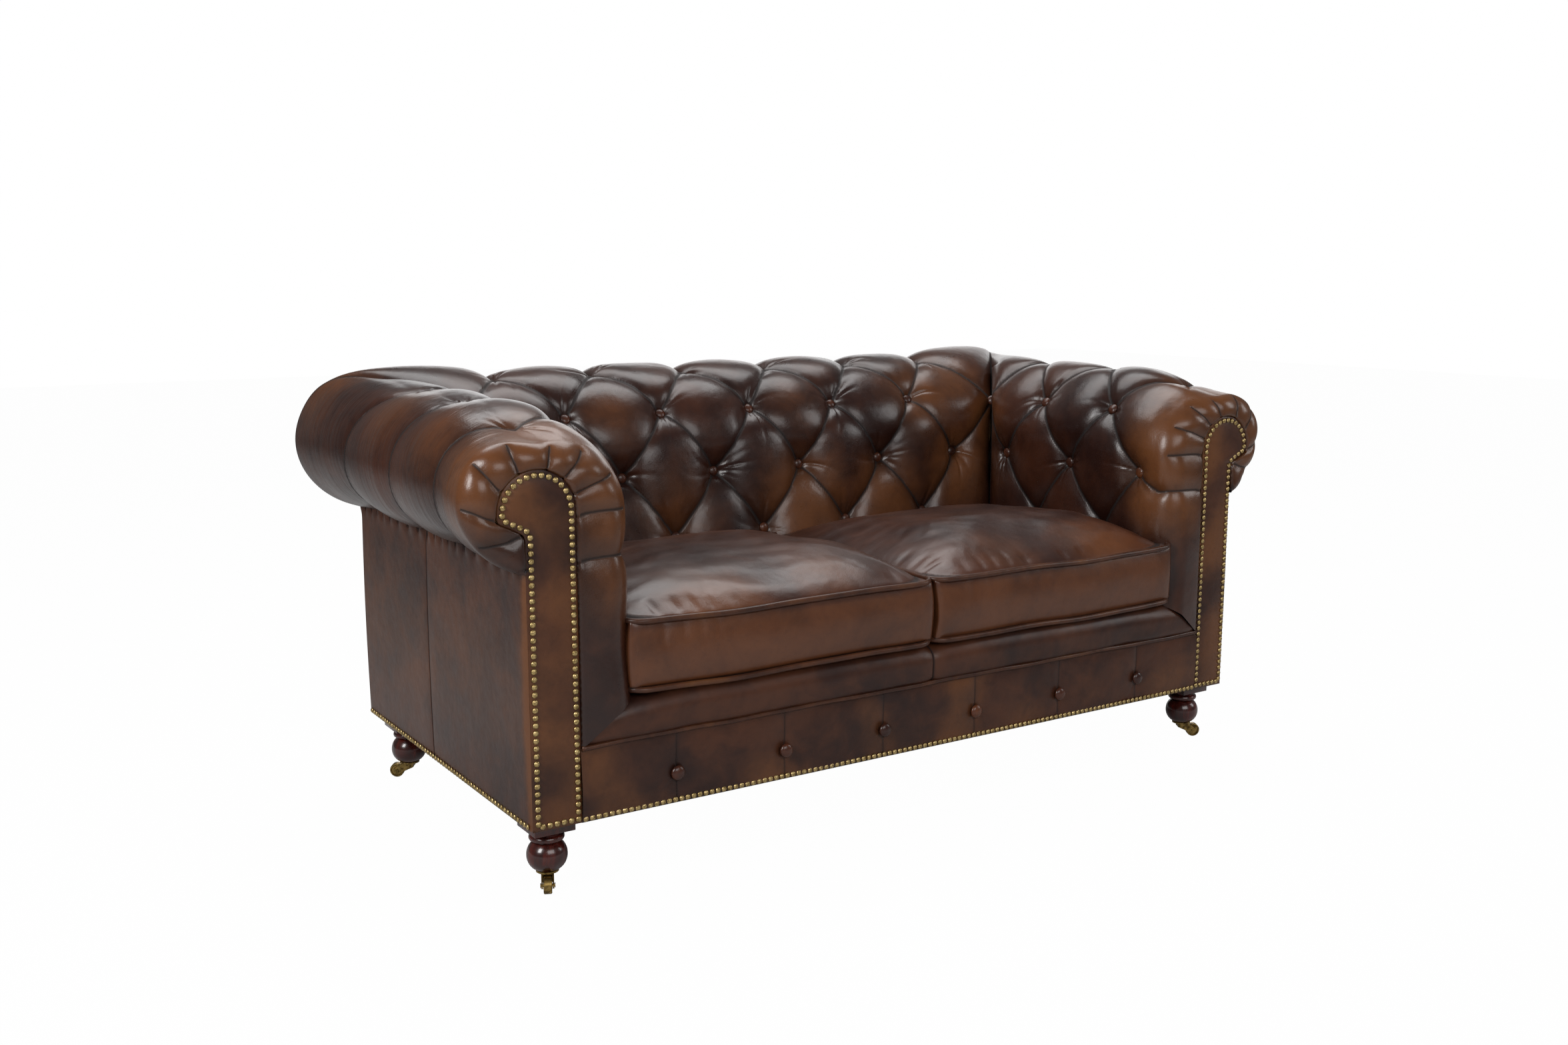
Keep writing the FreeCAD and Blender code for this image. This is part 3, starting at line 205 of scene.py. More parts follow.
# %% Antiqued leather
def leather(name, dark, middle, tan, cloud_scale=5.0, gloss=0.34, painted=True, streaks=0.0, wax=0.10):
    finish = Finish(name)
    place = finish.coordinates()
    clouds = finish.speckle(place, cloud_scale, 4.0, 0.55, 0.3)
    patches = finish.speckle(place, cloud_scale * 4.5, 3.0, 0.6, 0.6)
    flecks = finish.speckle(place, 70.0, 5.0, 0.62)
    cloud_share = finish.steps(clouds * 0.7 + patches * 0.3, 0.36, 0.66)
    tint = finish.mix(cloud_share, colour(dark), colour(middle))
    if painted:
        rub = finish.painted("rub")
        puff = finish.painted("puff")
        line = finish.painted("line")
        tan_share = finish.steps(rub * (0.25 + clouds * 0.8 + patches * 0.7), 0.12, 1.0)
        tint = finish.mix(tan_share * 0.9, tint, colour(tan))
        # Painted shade: the colour is darkened towards 1a0b08 where the leather dips into a fold (puff is
        # 0 there).
        hollow_shade = 1.0 - finish.steps(puff, 0.0, 0.7)
        tint = finish.mix(hollow_shade * 0.45, tint, colour("1a0b08"))
        # Painted shadow: a near-black line (0c0403) along each fold, where line is 0.
        crease = 1.0 - finish.steps(line, 0.0, 0.45)
        tint = finish.mix(crease * 0.85, tint, colour("0c0403"))
    else:
        tint = finish.mix(finish.steps(clouds, 0.55, 0.8) * 0.6, tint, colour(tan))
    fleck_share = finish.steps(flecks, 0.5, 0.75) * 0.2
    tint = finish.mix(fleck_share, tint, colour(dark))
    pores = finish.cells(place, 620.0)
    veins = finish.cells(place, 150.0, "DISTANCE_TO_EDGE")
    grain = pores * 0.5 + finish.steps(veins, 0.0, 0.12) * 0.5
    normal = finish.bumps(grain, 0.00018, 0.45)
    soft = finish.speckle(place, 24.0, 2.0)
    normal = finish.bumps(soft, 0.0022, 0.5, normal)
    if painted:
        normal = finish.bumps(finish.steps(line, 0.0, 0.5), 0.0016, 0.6, normal)
    if streaks:
        lines = finish.speckle(finish.stretched(finish.coordinates("UV"), (60.0, 4.0, 1.0)), 1.0, 3.0)
        reach = finish.painted("stretch")
        normal = finish.bumps(lines * reach, 0.0035, streaks, normal)
    shine = gloss + flecks * 0.12 + patches * 0.1 - 0.11
    if painted:
        shine = shine + crease * 0.5
    finish.feed(base_color=tint, roughness=shine, normal=normal)
    finish.feed(coat_weight=wax, coat_roughness=0.16, specular_ior_level=0.3 + wax * 1.6)
    return finish.material


TUFTED_LEATHER = leather("antiqued_leather", "200e0a", "3e2013", "643c20", 3.6, 0.30, True, 0.6, wax=0.06)
CUSHION_LEATHER = leather("cushion_leather", "28130d", "482616", "643b20", 3.2, 0.34, wax=0.06)
PANEL_LEATHER = leather("panel_leather", "26130e", "482818", "613b20", 4.5, 0.4, wax=0.0)
WELT_LEATHER = leather("welt_leather", "301a11", "4d2c1a", "63401f", 9.0, 0.36, False, wax=0.0)
print("leathers:", len(bpy.data.materials))

# %% [markdown]
# A sheet of points
#
# Each padded piece is a net of points, row by row, moved outwards by the stuffing. This helper
# turns such a net into a mesh whose faces point outwards, keeps the two lengths along the
# leather as its UV map, and paints the numbers that the finish reads.


# %% A sheet of points
def net_faces(rows, columns):
    """Squares between neighbouring points of a net, as numbers of its points."""
    corner = (np.arange(rows - 1)[:, None] * columns + np.arange(columns - 1)).ravel()
    return np.stack([corner, corner + columns, corner + columns + 1, corner + 1], axis=1)


PLAIN_PAINT = {"puff": 1.0, "line": 1.0, "rub": 0.0, "stretch": 0.0}


def paint_on(mesh, paint):
    """Gives every point its numbers for the finish, and plain ones where none are given."""
    count = len(mesh.vertices)
    for label, plain in PLAIN_PAINT.items():
        numbers = np.asarray(paint.get(label, plain), np.float32)
        if numbers.size == 1:
            numbers = np.full(count, numbers)
        layer = mesh.attributes.new(label, "FLOAT", "POINT")
        layer.data.foreach_set("value", numbers.ravel())


def smooth_piece(name, points, faces, finish):
    """A smooth piece made of points and faces, with one finish."""
    mesh = bpy.data.meshes.new(name)
    mesh.from_pydata(points.reshape(-1, 3).tolist(), [], faces)
    mesh.update()
    mesh.shade_smooth()
    mesh.materials.append(finish)
    piece = bpy.data.objects.new(name, mesh)
    bpy.context.scene.collection.objects.link(piece)
    return piece


def piece_from(name, points, faces, finish, uv, paint):
    """A piece of leather from a net, with its lengths as UV map and its paint."""
    piece = smooth_piece(name, points, faces.tolist(), finish)
    mesh = piece.data
    layer = mesh.uv_layers.new(name="leather")
    corners = np.empty(len(mesh.loops), np.int32)
    mesh.loops.foreach_get("vertex_index", corners)
    layer.data.foreach_set("uv", uv.reshape(-1, 2)[corners].astype(np.float32).ravel())
    paint_on(mesh, paint)
    return piece


def outward_net(points):
    """Unit directions that stand on a net of points."""
    along = np.gradient(points, axis=0)
    across = np.gradient(points, axis=1)
    normal = np.cross(along, across)
    return normal / np.maximum(np.linalg.norm(normal, axis=-1, keepdims=True), 1e-12)


def graded(start, end, busy, coarse, fine, reach=0.03):
    """Places from start to end, closer together near the busy places."""
    line = np.linspace(start, end, 4001)
    density = np.full(line.shape, 1 / coarse)
    for centre in busy:
        density += (1 / fine - 1 / coarse) * np.exp(-(((line - centre) / reach) ** 2))
    density = np.minimum(density, 1 / fine)
    count = np.concatenate([[0], np.cumsum((density[1:] + density[:-1]) / 2 * np.diff(line))])
    steps = int(round(count[-1]))
    return np.interp(np.linspace(0, count[-1], steps + 1), count, line)


print("net helpers ready")

# %% [markdown]
# The section of arm and back
#
# Arm and back have the same section: an inner face, a round that leads up to the crest, and
# the roll that turns over outwards and tucks in below. It is drawn once as a line of points,
# given as inset (inwards from the outside panel) and height, and read by its length, because
# leather is laid by length. The sizes are those of the frame below.

# %% The section of arm and back
HALF_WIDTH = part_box("outside_arm_right")[1].x
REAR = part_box("outside_back")[1].y
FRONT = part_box("facing_right")[0].y
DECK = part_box("deck_pad")[1].z
BASE_DEPTH = REAR - FRONT
ROLL_RADIUS = 0.124
ROLL_INSET = 0.025
ROLL_HEIGHT = 0.668
ARM_THICK = 0.171
ARM_CREST_ROUND = 0.160
BACK_THICK = 0.228
BACK_CREST_ROUND = 0.182
CUSHION_EDGE = 0.440


def round_line(centre, radius, start, end, count=160):
    turn = np.radians(np.linspace(start, end, count))
    return np.stack([centre[0] + radius * np.cos(turn), centre[1] + radius * np.sin(turn)], axis=1)


class Section:
    """The line of the leather across an arm or the back, read by its length."""

    def __init__(self, thick, crest_round, foot):
        crest_centre = (ROLL_INSET, ROLL_HEIGHT + ROLL_RADIUS - crest_round)
        across, up = thick - crest_centre[0], CUSHION_EDGE - crest_centre[1]
        touch = math.degrees(math.atan2(up, across) + math.acos(crest_round / math.hypot(across, up)))
        tuck = 360 - math.degrees(math.acos(-ROLL_INSET / ROLL_RADIUS))
        face = np.array([[thick, foot], [thick, CUSHION_EDGE]])
        crest = round_line(crest_centre, crest_round, touch, 90)
        roll = round_line((ROLL_INSET, ROLL_HEIGHT), ROLL_RADIUS, 90, tuck)[1:]
        self.line = np.concatenate([face, crest, roll])
        lengths = np.linalg.norm(np.diff(self.line, axis=0), axis=1)
        self.along = np.concatenate([[0], np.cumsum(lengths)])
        self.length = self.along[-1]
        self.crest = self.near(ROLL_INSET, ROLL_HEIGHT + ROLL_RADIUS)[0]
        self.side = self.near(ROLL_INSET - ROLL_RADIUS, ROLL_HEIGHT)[0]

    def at(self, length):
        inset = np.interp(length, self.along, self.line[:, 0])
        height = np.interp(length, self.along, self.line[:, 1])
        return inset, height

    def near(self, inset, height):
        """The length along the line nearest to a point, and how far off the point is."""
        fine = np.linspace(0, self.length, 4001)
        across, up = self.at(fine)
        away = np.hypot(across - inset, up - height)
        return fine[away.argmin()], away.min()


def mitre_depth(inset):
    """Where arm and back meet in the corner, as an inset of the back."""
    reach = ROLL_RADIUS - ROLL_INSET
    return (inset + reach) * (BACK_THICK + reach) / (ARM_THICK + reach) - reach


arm_section = Section(ARM_THICK, ARM_CREST_ROUND, DECK)
back_section = Section(BACK_THICK, BACK_CREST_ROUND, DECK)
print("leather over an arm:", round(arm_section.length, 3), "and the back:", round(back_section.length, 3))

# %% [markdown]
# Where the buttons are
#
# The buttons belong to the frame, and the leather has to dip to them. A frame piece is a loose
# heap of triangles, so its separate buttons are found by letting the lowest number spread from
# corner to corner until each button has a number of its own.


# %% Where the buttons are
def separate_boxes(name):
    """Lowest and highest corner of each separate solid in a frame node."""
    mesh = nodes[name].data
    spots = np.empty(len(mesh.vertices) * 3)
    mesh.vertices.foreach_get("co", spots)
    spots = spots.reshape(-1, 3)
    corners = np.empty(len(mesh.loops), np.int64)
    mesh.loops.foreach_get("vertex_index", corners)
    _, same = np.unique(np.round(spots, 6), axis=0, return_inverse=True)
    triangles = same.ravel()[corners].reshape(-1, 3)
    label = np.arange(same.max() + 1)
    while True:
        lowest = label[triangles].min(axis=1)
        spread = label.copy()
        for corner in range(3):
            np.minimum.at(spread, triangles[:, corner], lowest)
        spread = spread[spread]
        if (spread == label).all():
            break
        label = spread
    owner = label[same.ravel()]
    order = np.argsort(owner, kind="stable")
    starts = np.flatnonzero(np.diff(owner[order], prepend=-1))
    low = np.minimum.reduceat(spots[order], starts)
    high = np.maximum.reduceat(spots[order], starts)
    return low, high


back_low, back_high = separate_boxes("back_buttons")
back_buttons = (back_low + back_high) / 2
arm_low, arm_high = separate_boxes("arm_buttons_right")
arm_buttons = (arm_low + arm_high) / 2
corner_button = back_buttons[back_buttons[:, 0].argmax()]
print("buttons on the back:", len(back_buttons), "on an arm:", len(arm_buttons))

# %% [markdown]
# How leather swells between folds
#
# Deep buttoning is leather pulled down at the buttons and folded under along the lines that
# join them. Between the folds it swells like a soap film that is held at its edge. So each
# point of the net sits at the mean of its neighbours, plus a little push from the stuffing,
# and the points on a fold stay down. Going over the net some hundred times settles it. That
# film is raised to a power below 1, so it stands up steeply from the fold, as a full puff does.


# %% How leather swells between folds
ROUNDNESS = 0.66
SEAT_RADIUS = 0.0095
LINE_REACH = 0.006


class Quilt:
    """A net of leather with folds: rows run one way and columns the other."""

    def __init__(self, shape, row_step, column_step, reach=0.07):
        self.shape = shape
        self.row_step = np.broadcast_to(row_step, shape)
        self.column_step = np.broadcast_to(column_step, shape)
        self.reach = reach
        self.held = np.zeros(shape, bool)
        self.depth = np.zeros(shape)
        self.shift = np.zeros((*shape, 2))

    def hold(self, row, column, height):
        """Pins the point nearest to a place on the net, and slides it onto that place."""
        i, j = int(round(row)), int(round(column))
        if 0 <= i < self.shape[0] and 0 <= j < self.shape[1]:
            off = (row - i, column - j)
            if not self.held[i, j] or np.hypot(*off) < np.hypot(*self.shift[i, j]):
                self.shift[i, j] = off
                self.depth[i, j] = height
            self.held[i, j] = True

    def fold(self, places, heights):
        """A fold along places (row, column), with a height at each."""
        places = np.asarray(places, float)
        gaps = np.abs(np.diff(places, axis=0)).max(axis=1)
        count = int(gaps.sum() * 6) + 2
        at = np.concatenate([[0], np.cumsum(gaps)])
        fine = np.linspace(0, at[-1], count)
        rows = np.interp(fine, at, places[:, 0])
        columns = np.interp(fine, at, places[:, 1])
        levels = np.interp(fine, at, heights)
        last = None
        for row, column, level in zip(rows, columns, levels):
            here = (int(round(row)), int(round(column)))
            if last is not None and here[0] != last[0] and here[1] != last[1]:
                self.hold_between(here[0], last[1], row, column, level)
            self.hold(row, column, level)
            last = here

    def hold_between(self, i, j, row, column, level):
        """Keeps a fold unbroken where it steps from one point to the next but one."""
        if 0 <= i < self.shape[0] and 0 <= j < self.shape[1] and not self.held[i, j]:
            self.held[i, j] = True
            self.shift[i, j] = (row - i, column - j)
            self.depth[i, j] = level

    def settle(self, push, rounds=500):
        """Relaxes the film. push is 1 for the swelling and 0 for a plain stretched skin."""
        along = 1 / self.row_step**2
        across = 1 / self.column_step**2
        skin = push / self.reach**2
        total = 2 * along + 2 * across + skin
        film = np.where(self.held, 0.0 if push else self.depth, 0.0)
        fixed = film.copy()
        for _ in range(rounds):
            wide = np.pad(film, 1, mode="edge")
            film = (
                along * (wide[2:, 1:-1] + wide[:-2, 1:-1])
                + across * (wide[1:-1, 2:] + wide[1:-1, :-2])
                + push
            ) / total
            film[self.held] = fixed[self.held]
        return film

    def seat(self, along, across, centre, level):
        """Holds a small bowl of leather flat under a button."""
        away = np.hypot(along - centre[0], across - centre[1])
        inside = away < SEAT_RADIUS
        self.held |= inside
        self.depth = np.where(inside, level + 0.002 * (away / SEAT_RADIUS) ** 2, self.depth)

    def swell(self):
        """How full the leather is, from 0 in a fold to nearly 1 in a wide puff."""
        film = np.maximum(self.settle(1.0, 700), 0) / self.reach**2
        return film**ROUNDNESS

    def near_fold(self):
        """0 on a fold, and 1 a few millimetres away from it."""
        wide, self.reach = self.reach, LINE_REACH
        line = self.settle(1.0, 60) / LINE_REACH**2
        self.reach = wide
        return line

    def sag(self):
        """The level that the folds set, spread over the leather between them."""
        return self.settle(0.0, 1200)


def fold_levels(first, last, middle, count=24):
    """A fold is deep at both buttons and rises in between."""
    share = np.linspace(0, 1, count)
    rise = np.sin(np.pi * share) ** 0.8
    return share, (first + (last - first) * share) * (1 - rise) + middle * rise


def button_creases(along, across, buttons, reach=0.075, waves=9, depth=0.0066):
    """Short sharp creases that run out from every button."""
    height = np.zeros(np.broadcast(along, across).shape)
    for number, (button_along, button_across) in enumerate(buttons):
        step_along, step_across = along - button_along, across - button_across
        away = np.hypot(step_along, step_across)
        turn = np.arctan2(step_across, step_along)
        bent = turn + 0.35 * np.sin(2 * turn + number) + 0.2 * np.sin(3 * turn + 2.1 * number)
        bent = bent + 4.0 * (away - 0.03)
        ridge = 1 - np.abs(np.sin(waves * bent / 2 + number * 1.7))
        size = np.clip(0.5 + 0.7 * np.sin(2 * turn + number * 2.3), 0, 1)
        length = reach * (0.7 + 0.3 * np.sin(5 * turn + number))
        band = np.clip(away / 0.012 - 0.6, 0, 1) * np.exp(-((away / length) ** 2) * 1.6)
        height -= depth * ridge**2 * size * band
    return height


def wander(points, scale, seed):
    """Gentle unevenness, a number for each point of a net."""
    flat = points.reshape(-1, 3)
    offset = Vector((seed * 7.3, seed * 3.1, seed * 5.7))
    values = [noise.noise(Vector(spot) * scale + offset) for spot in flat.tolist()]
    return np.array(values).reshape(points.shape[:-1])


print("quilting helpers ready")

# %% [markdown]
# Where the hide is rubbed
#
# The maker rubs the dye back by hand, most on the pleats of the scroll fronts, along the foot
# of the back and round some buttons. Each rubbed spot is a place, a size and a strength.

# %% Where the hide is rubbed
RUBBED_SPOTS = [
    ((-0.62, -0.44, 0.66), 0.11, 1.3),
    ((-0.74, -0.43, 0.77), 0.13, 1.3),
    ((-0.86, -0.43, 0.70), 0.12, 1.0),
    ((-0.64, -0.44, 0.54), 0.12, 0.7),
    ((0.62, -0.44, 0.66), 0.12, 1.2),
    ((0.74, -0.43, 0.77), 0.13, 1.2),
    ((0.64, -0.42, 0.56), 0.11, 1.0),
    ((0.87, -0.42, 0.66), 0.12, 1.2),
    ((0.10, 0.13, 0.50), 0.13, 1.0),
    ((0.32, 0.13, 0.50), 0.12, 0.85),
    ((-0.22, 0.13, 0.50), 0.12, 0.6),
    ((-0.48, 0.13, 0.52), 0.12, 0.6),
    ((0.53, 0.13, 0.55), 0.12, 0.8),
    ((0.45, 0.18, 0.72), 0.13, 0.7),
    ((0.56, 0.20, 0.76), 0.12, 0.7),
    ((0.63, 0.15, 0.66), 0.10, 0.7),
    ((-0.35, 0.17, 0.72), 0.10, 0.5),
    ((0.10, 0.18, 0.72), 0.12, 0.4),
    ((-0.86, -0.25, 0.74), 0.12, 0.5),
    ((-0.84, 0.00, 0.76), 0.10, 0.5),
    ((-0.82, 0.38, 0.78), 0.12, 0.6),
]


def rubbed(points, spots=RUBBED_SPOTS):
    amount = np.zeros(points.shape[:-1])
    for centre, size, strength in spots:
        away = np.linalg.norm(points - np.array(centre), axis=-1)
        amount = np.maximum(amount, strength * np.exp(-((away / size) ** 2)))
    return amount


print("rubbed spots:", len(RUBBED_SPOTS))

# %% [markdown]
# The back
#
# The net of the back runs from mitre to mitre and from the seat over the crest to the
# underside of the roll. Its folds join each button to its two neighbours in the next row, and
# the top row is a row of tucks on the crest, from which pleats run over the roll. In the
# corners the leather ends on the mitre, where it is sewn to that of the arm.

# %% The back
PUFF_RISE = 0.040
ROLL_RISE = 0.019
FOLD_LEVEL = 0.003
TUCK_LEVEL = -0.009
SEAM_LEVEL = -0.003
CORNER_LEVEL = 0.004
EAR_LEVEL = 0.013
COARSE, FINE = 0.0052, 0.0030
BACK_TUCK_INSET = 0.057
TUCK_HEIGHT = 0.785
BUTTON_SEAT = 0.004


def eased(share):
    """From 0 to 1, starting and ending gently."""
    share = np.clip(share, 0, 1)
    return share * share * (3 - 2 * share)


def rise_limit(section, length):
    """Full puffs inside, and flatter ones on the outside of the roll."""
    share = eased((length - section.crest) / (section.side - section.crest) * 1.2)
    return PUFF_RISE + (ROLL_RISE - PUFF_RISE) * share


back_spots = []
for spot in back_buttons:
    length, depth = back_section.near(REAR - spot[1], spot[2])
    if spot is not corner_button and abs(spot[0]) < 0.6:
        back_spots.append((spot[0], length, -depth - BUTTON_SEAT))
corner_length = back_section.near(REAR - corner_button[1], corner_button[2])[0]
row_lengths = sorted({round(length, 3) for _, length, _ in back_spots})
tuck_length = back_section.near(BACK_TUCK_INSET, TUCK_HEIGHT)[0]
print("rows of the back, by length from the seat:", row_lengths, "tucks:", round(tuck_length, 3))

# %% The net of the back
BACK_STRAIGHT = 0.50
BACK_NET = 0.75


def back_end(length):
    """How far from the middle the mitre lies at a place on the section."""
    reach = ROLL_RADIUS - ROLL_INSET
    inset = back_section.at(length)[0]
    arm_inset = (inset + reach) * (ARM_THICK + reach) / (BACK_THICK + reach) - reach
    return HALF_WIDTH - arm_inset


def spread_out(nominal, end, straight, net):
    """Real place along the piece. Past the straight part the net stretches to reach the mitre."""
    beyond = np.abs(nominal) - straight
    stretched = straight + beyond * (end - straight) / (net - straight)
    return np.where(beyond > 0, np.sign(nominal) * stretched, nominal)


def drawn_in(real, end, straight, net):
    """The net's own place for a real place: the reverse of spread_out."""
    beyond = np.abs(real) - straight
    drawn = straight + beyond * (net - straight) / (end - straight)
    return np.where(beyond > 0, np.sign(real) * drawn, real)


back_along = graded(-BACK_NET, BACK_NET, [spot[0] for spot in back_spots], COARSE, FINE)
back_across = graded(0, back_section.length, row_lengths + [tuck_length], COARSE, FINE)


def back_place(along, length):
    """Row and column of the back's net at a real place."""
    nominal = drawn_in(along, back_end(length), BACK_STRAIGHT, BACK_NET)
    row = np.interp(nominal, back_along, np.arange(len(back_along)))
    return row, np.interp(length, back_across, np.arange(len(back_across)))


def back_points(row, column):
    nominal = np.interp(row, np.arange(len(back_along)), back_along)
    length = np.interp(column, np.arange(len(back_across)), back_across)
    inset, height = back_section.at(length)
    along = spread_out(nominal, back_end(length), BACK_STRAIGHT, BACK_NET)
    return np.stack([along, REAR - inset, height], axis=-1), along, length


def lay_fold(quilt, place, first, last, middle, start_level, end_level):
    """A fold straight across the leather, from one (along, length) to another."""
    share, levels = fold_levels(start_level, end_level, middle)
    along = first[0] + (last[0] - first[0]) * share
    length = first[1] + (last[1] - first[1]) * share
    rows, columns = place(along, length)
    quilt.fold(np.stack([rows, columns], axis=1), levels)


def lay_rows(quilt, place, rows, pitch):
    """Folds from each button or tuck to its neighbours in the next row up."""
    count = 0
    for lower, upper in zip(rows, rows[1:]):
        for one in lower:
            for other in upper:
                if abs(one[0] - other[0]) < 0.62 * pitch:
                    lay_fold(quilt, place, one, other, FOLD_LEVEL, one[2], other[2])
                    count += 1
    return count


def lay_mitre(quilt, row, columns, lengths, button_length, crest):
    """Sews the leather down along the mitre. On the crest's far side the seam stands up."""
    pull = np.exp(-(((lengths - button_length) / 0.03) ** 2))
    ear = np.exp(-(((lengths - crest - 0.05) / 0.06) ** 2))
    quilt.fold(
        np.stack([np.full(len(columns), float(row)), columns], axis=1),
        SEAM_LEVEL + (CORNER_LEVEL - SEAM_LEVEL) * pull + EAR_LEVEL * ear,
    )


all_rows, all_columns = np.meshgrid(
    np.arange(len(back_along)), np.arange(len(back_across)), indexing="ij"
)
_, real_along, real_length = back_points(all_rows, all_columns)
back_quilt = Quilt(
    all_rows.shape, np.gradient(real_along, axis=0), np.gradient(real_length, axis=1)
)
BUTTON_PITCH = 0.216
back_rows = [sorted(s for s in back_spots if abs(s[1] - row) < 0.01) for row in row_lengths]
tuck_row = [(spot[0], tuck_length, TUCK_LEVEL) for spot in back_rows[1]]
corner_spots = [(side * back_end(corner_length), corner_length, CORNER_LEVEL) for side in (-1, 1)]
high_row = back_rows[2] + corner_spots
folds = lay_rows(back_quilt, back_place, [back_rows[0], back_rows[1], high_row, tuck_row], BUTTON_PITCH)
for along, length, level in back_rows[0]:
    lay_fold(back_quilt, back_place, (along, length), (along, 0.0), FOLD_LEVEL, level, FOLD_LEVEL)
for along, length, level in tuck_row:
    end = (along, back_section.length)
    lay_fold(back_quilt, back_place, (along, length), end, TUCK_LEVEL, level, TUCK_LEVEL)
column_numbers = np.arange(len(back_across), dtype=float)
for row in (0, len(back_along) - 1):
    lay_mitre(back_quilt, row, column_numbers, back_across, corner_length, back_section.crest)
for spot in back_spots:
    back_quilt.seat(real_along, real_length, spot[:2], spot[2])
print("folds on the back:", folds, "net:", all_rows.shape)


# %% The skin of the back
def evened(height, rounds=2):
    """Takes the small steps out of a height that follows slanting folds."""
    for _ in range(rounds):
        wide = np.pad(height, 1, mode="edge")
        beside = wide[2:, 1:-1] + wide[:-2, 1:-1] + wide[1:-1, 2:] + wide[1:-1, :-2]
        height = height * 0.4 + beside * 0.15
    return height


def quilted_points(quilt, points_at, rise, buttons, seed, crease=0.0062, lean=None):
    """The net of a quilted piece, stuffed, with its folds and creases. Also its paint."""
    rows, columns = np.meshgrid(*(np.arange(count) for count in quilt.shape), indexing="ij")
    placed = points_at(rows + quilt.shift[..., 0], columns + quilt.shift[..., 1])
    points, along, length = placed
    full = quilt.swell()
    height = evened(quilt.sag() + rise(along, length) * full)
    height += button_creases(along, length, buttons, depth=crease)
    height += 0.0030 * wander(points, 10.0, seed) * np.minimum(full * 3, 1)
    outward = outward_net(points)
    if lean is not None:
        outward = outward + lean(points, outward)
    skin = points + outward * height[..., None]
    # puff and line paint shade: darker where the leather dips into a fold, and a painted shadow line along
    # each fold. rub is rubbed wear.
    paint = {"puff": np.minimum(full * 2.2, 1), "line": quilt.near_fold(), "rub": rubbed(skin)}
    return skin, along, length, paint


def back_rise(along, length):
    return rise_limit(back_section, length)


def back_lean(points, outward):
    """Turns the outward direction along the mitre near both ends, so that no gap opens there."""
    ends = np.stack([points[0], points[-1]])
    away = np.minimum(*(np.abs(points[..., 0] - end[None, :, 0]) for end in ends))
    sideways = np.sign(points[..., 0]) * outward[..., 1] * np.exp(-away / 0.03)
    return np.stack([sideways, 0 * sideways, 0 * sideways], axis=-1)


def fine_line(line, parts=8):
    """A line of points with more points between them."""
    places = np.arange(0, len(line) - 1 + 1 / parts / 2, 1 / parts)
    return np.stack([np.interp(places, np.arange(len(line)), line[:, k]) for k in range(3)], axis=1)


SEAM_CATCH = 0.02


def sewn_to(skin, seam, rows=10):
    """Draws the last rows of a net to a seam, so that two hides end on one line."""
    last = skin[-1]
    nearest = np.argmin(np.linalg.norm(last[:, None] - seam[None], axis=-1), axis=1)
    pull = seam[nearest] - last
    pull *= (np.linalg.norm(pull, axis=1) < SEAM_CATCH)[:, None]
    share = np.clip(1 - np.arange(len(skin))[::-1] / rows, 0, 1)
    return skin + pull[None] * (share**2)[:, None, None]


back_pits = [(spot[0], spot[1]) for spot in back_spots + tuck_row]
skin, along, length, paint = quilted_points(
    back_quilt, back_points, back_rise, back_pits, 1, lean=back_lean
)
paint["stretch"] = np.clip((length - back_section.crest) / 0.05, 0, 1)
mitre_seams = {math.copysign(1, end[0, 0]): fine_line(end) for end in (skin[0], skin[-1])}
back = piece_from(
    "back_leather",
    skin,
    net_faces(*skin.shape[:2]),
    TUFTED_LEATHER,
    np.stack([along, length], axis=-1),
    paint,
)
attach(back, "sofa")
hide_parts("back_upholstery")
print("back leather:", len(back.data.polygons), "faces")

# %% [markdown]
# The scroll facing's edge
#
# At the front each arm ends in a scroll-shaped board, the facing. The arm's leather is drawn
# over the front edge and gathered under that facing, so the edge of the facing is needed twice:
# for the gathers and for the facing's own cover.

# %% The scroll facing's edge
FACING_INNER = 0.087
FACING_REACH = 0.045
FACING_TOP = 0.703
FACING_FOOT = 0.123
LIP_CORNER = (-FACING_REACH, 0.624, 0.014)
NOTCH_CORNER = (0.0, 0.6025, 0.012)
SCROLL_ROUND = (FACING_INNER + FACING_REACH) / 2
SCROLL_CENTRE = (FACING_INNER - SCROLL_ROUND, FACING_TOP - SCROLL_ROUND)


def eased_corner(before, corner, after, radius, count=9):
    """A rounded corner of an outline, as a short curve between its two sides."""
    before, corner, after = (np.array(spot[:2], float) for spot in (before, corner, after))
    to_before = (before - corner) / np.linalg.norm(before - corner)
    to_after = (after - corner) / np.linalg.norm(after - corner)
    half = math.acos(np.clip(to_before @ to_after, -1, 1)) / 2
    setback = radius / math.tan(half)
    share = np.linspace(0, 1, count)[:, None]
    start, end = corner + to_before * setback, corner + to_after * setback
    return (1 - share) ** 2 * start + 2 * share * (1 - share) * corner + share**2 * end


def facing_line(foot_inner, foot_outer):
    """The facing's outline as (inset, height), from its inner foot over the scroll to the outer foot."""
    lip_top = (-FACING_REACH, SCROLL_CENTRE[1])
    outer = (0.0, foot_outer)
    return np.concatenate(
        [
            [(FACING_INNER, foot_inner)],
            round_line(SCROLL_CENTRE, SCROLL_ROUND, 0, 180, 60),
            eased_corner(lip_top, LIP_CORNER, NOTCH_CORNER, LIP_CORNER[2]),
            eased_corner(LIP_CORNER, NOTCH_CORNER, outer, NOTCH_CORNER[2]),
            [outer],
        ]
    )


def line_length(line):
    return np.concatenate([[0], np.cumsum(np.linalg.norm(np.diff(line, axis=0), axis=1))])


gather_line = facing_line(0.248, arm_section.line[-1][1])
gather_length = line_length(gather_line)


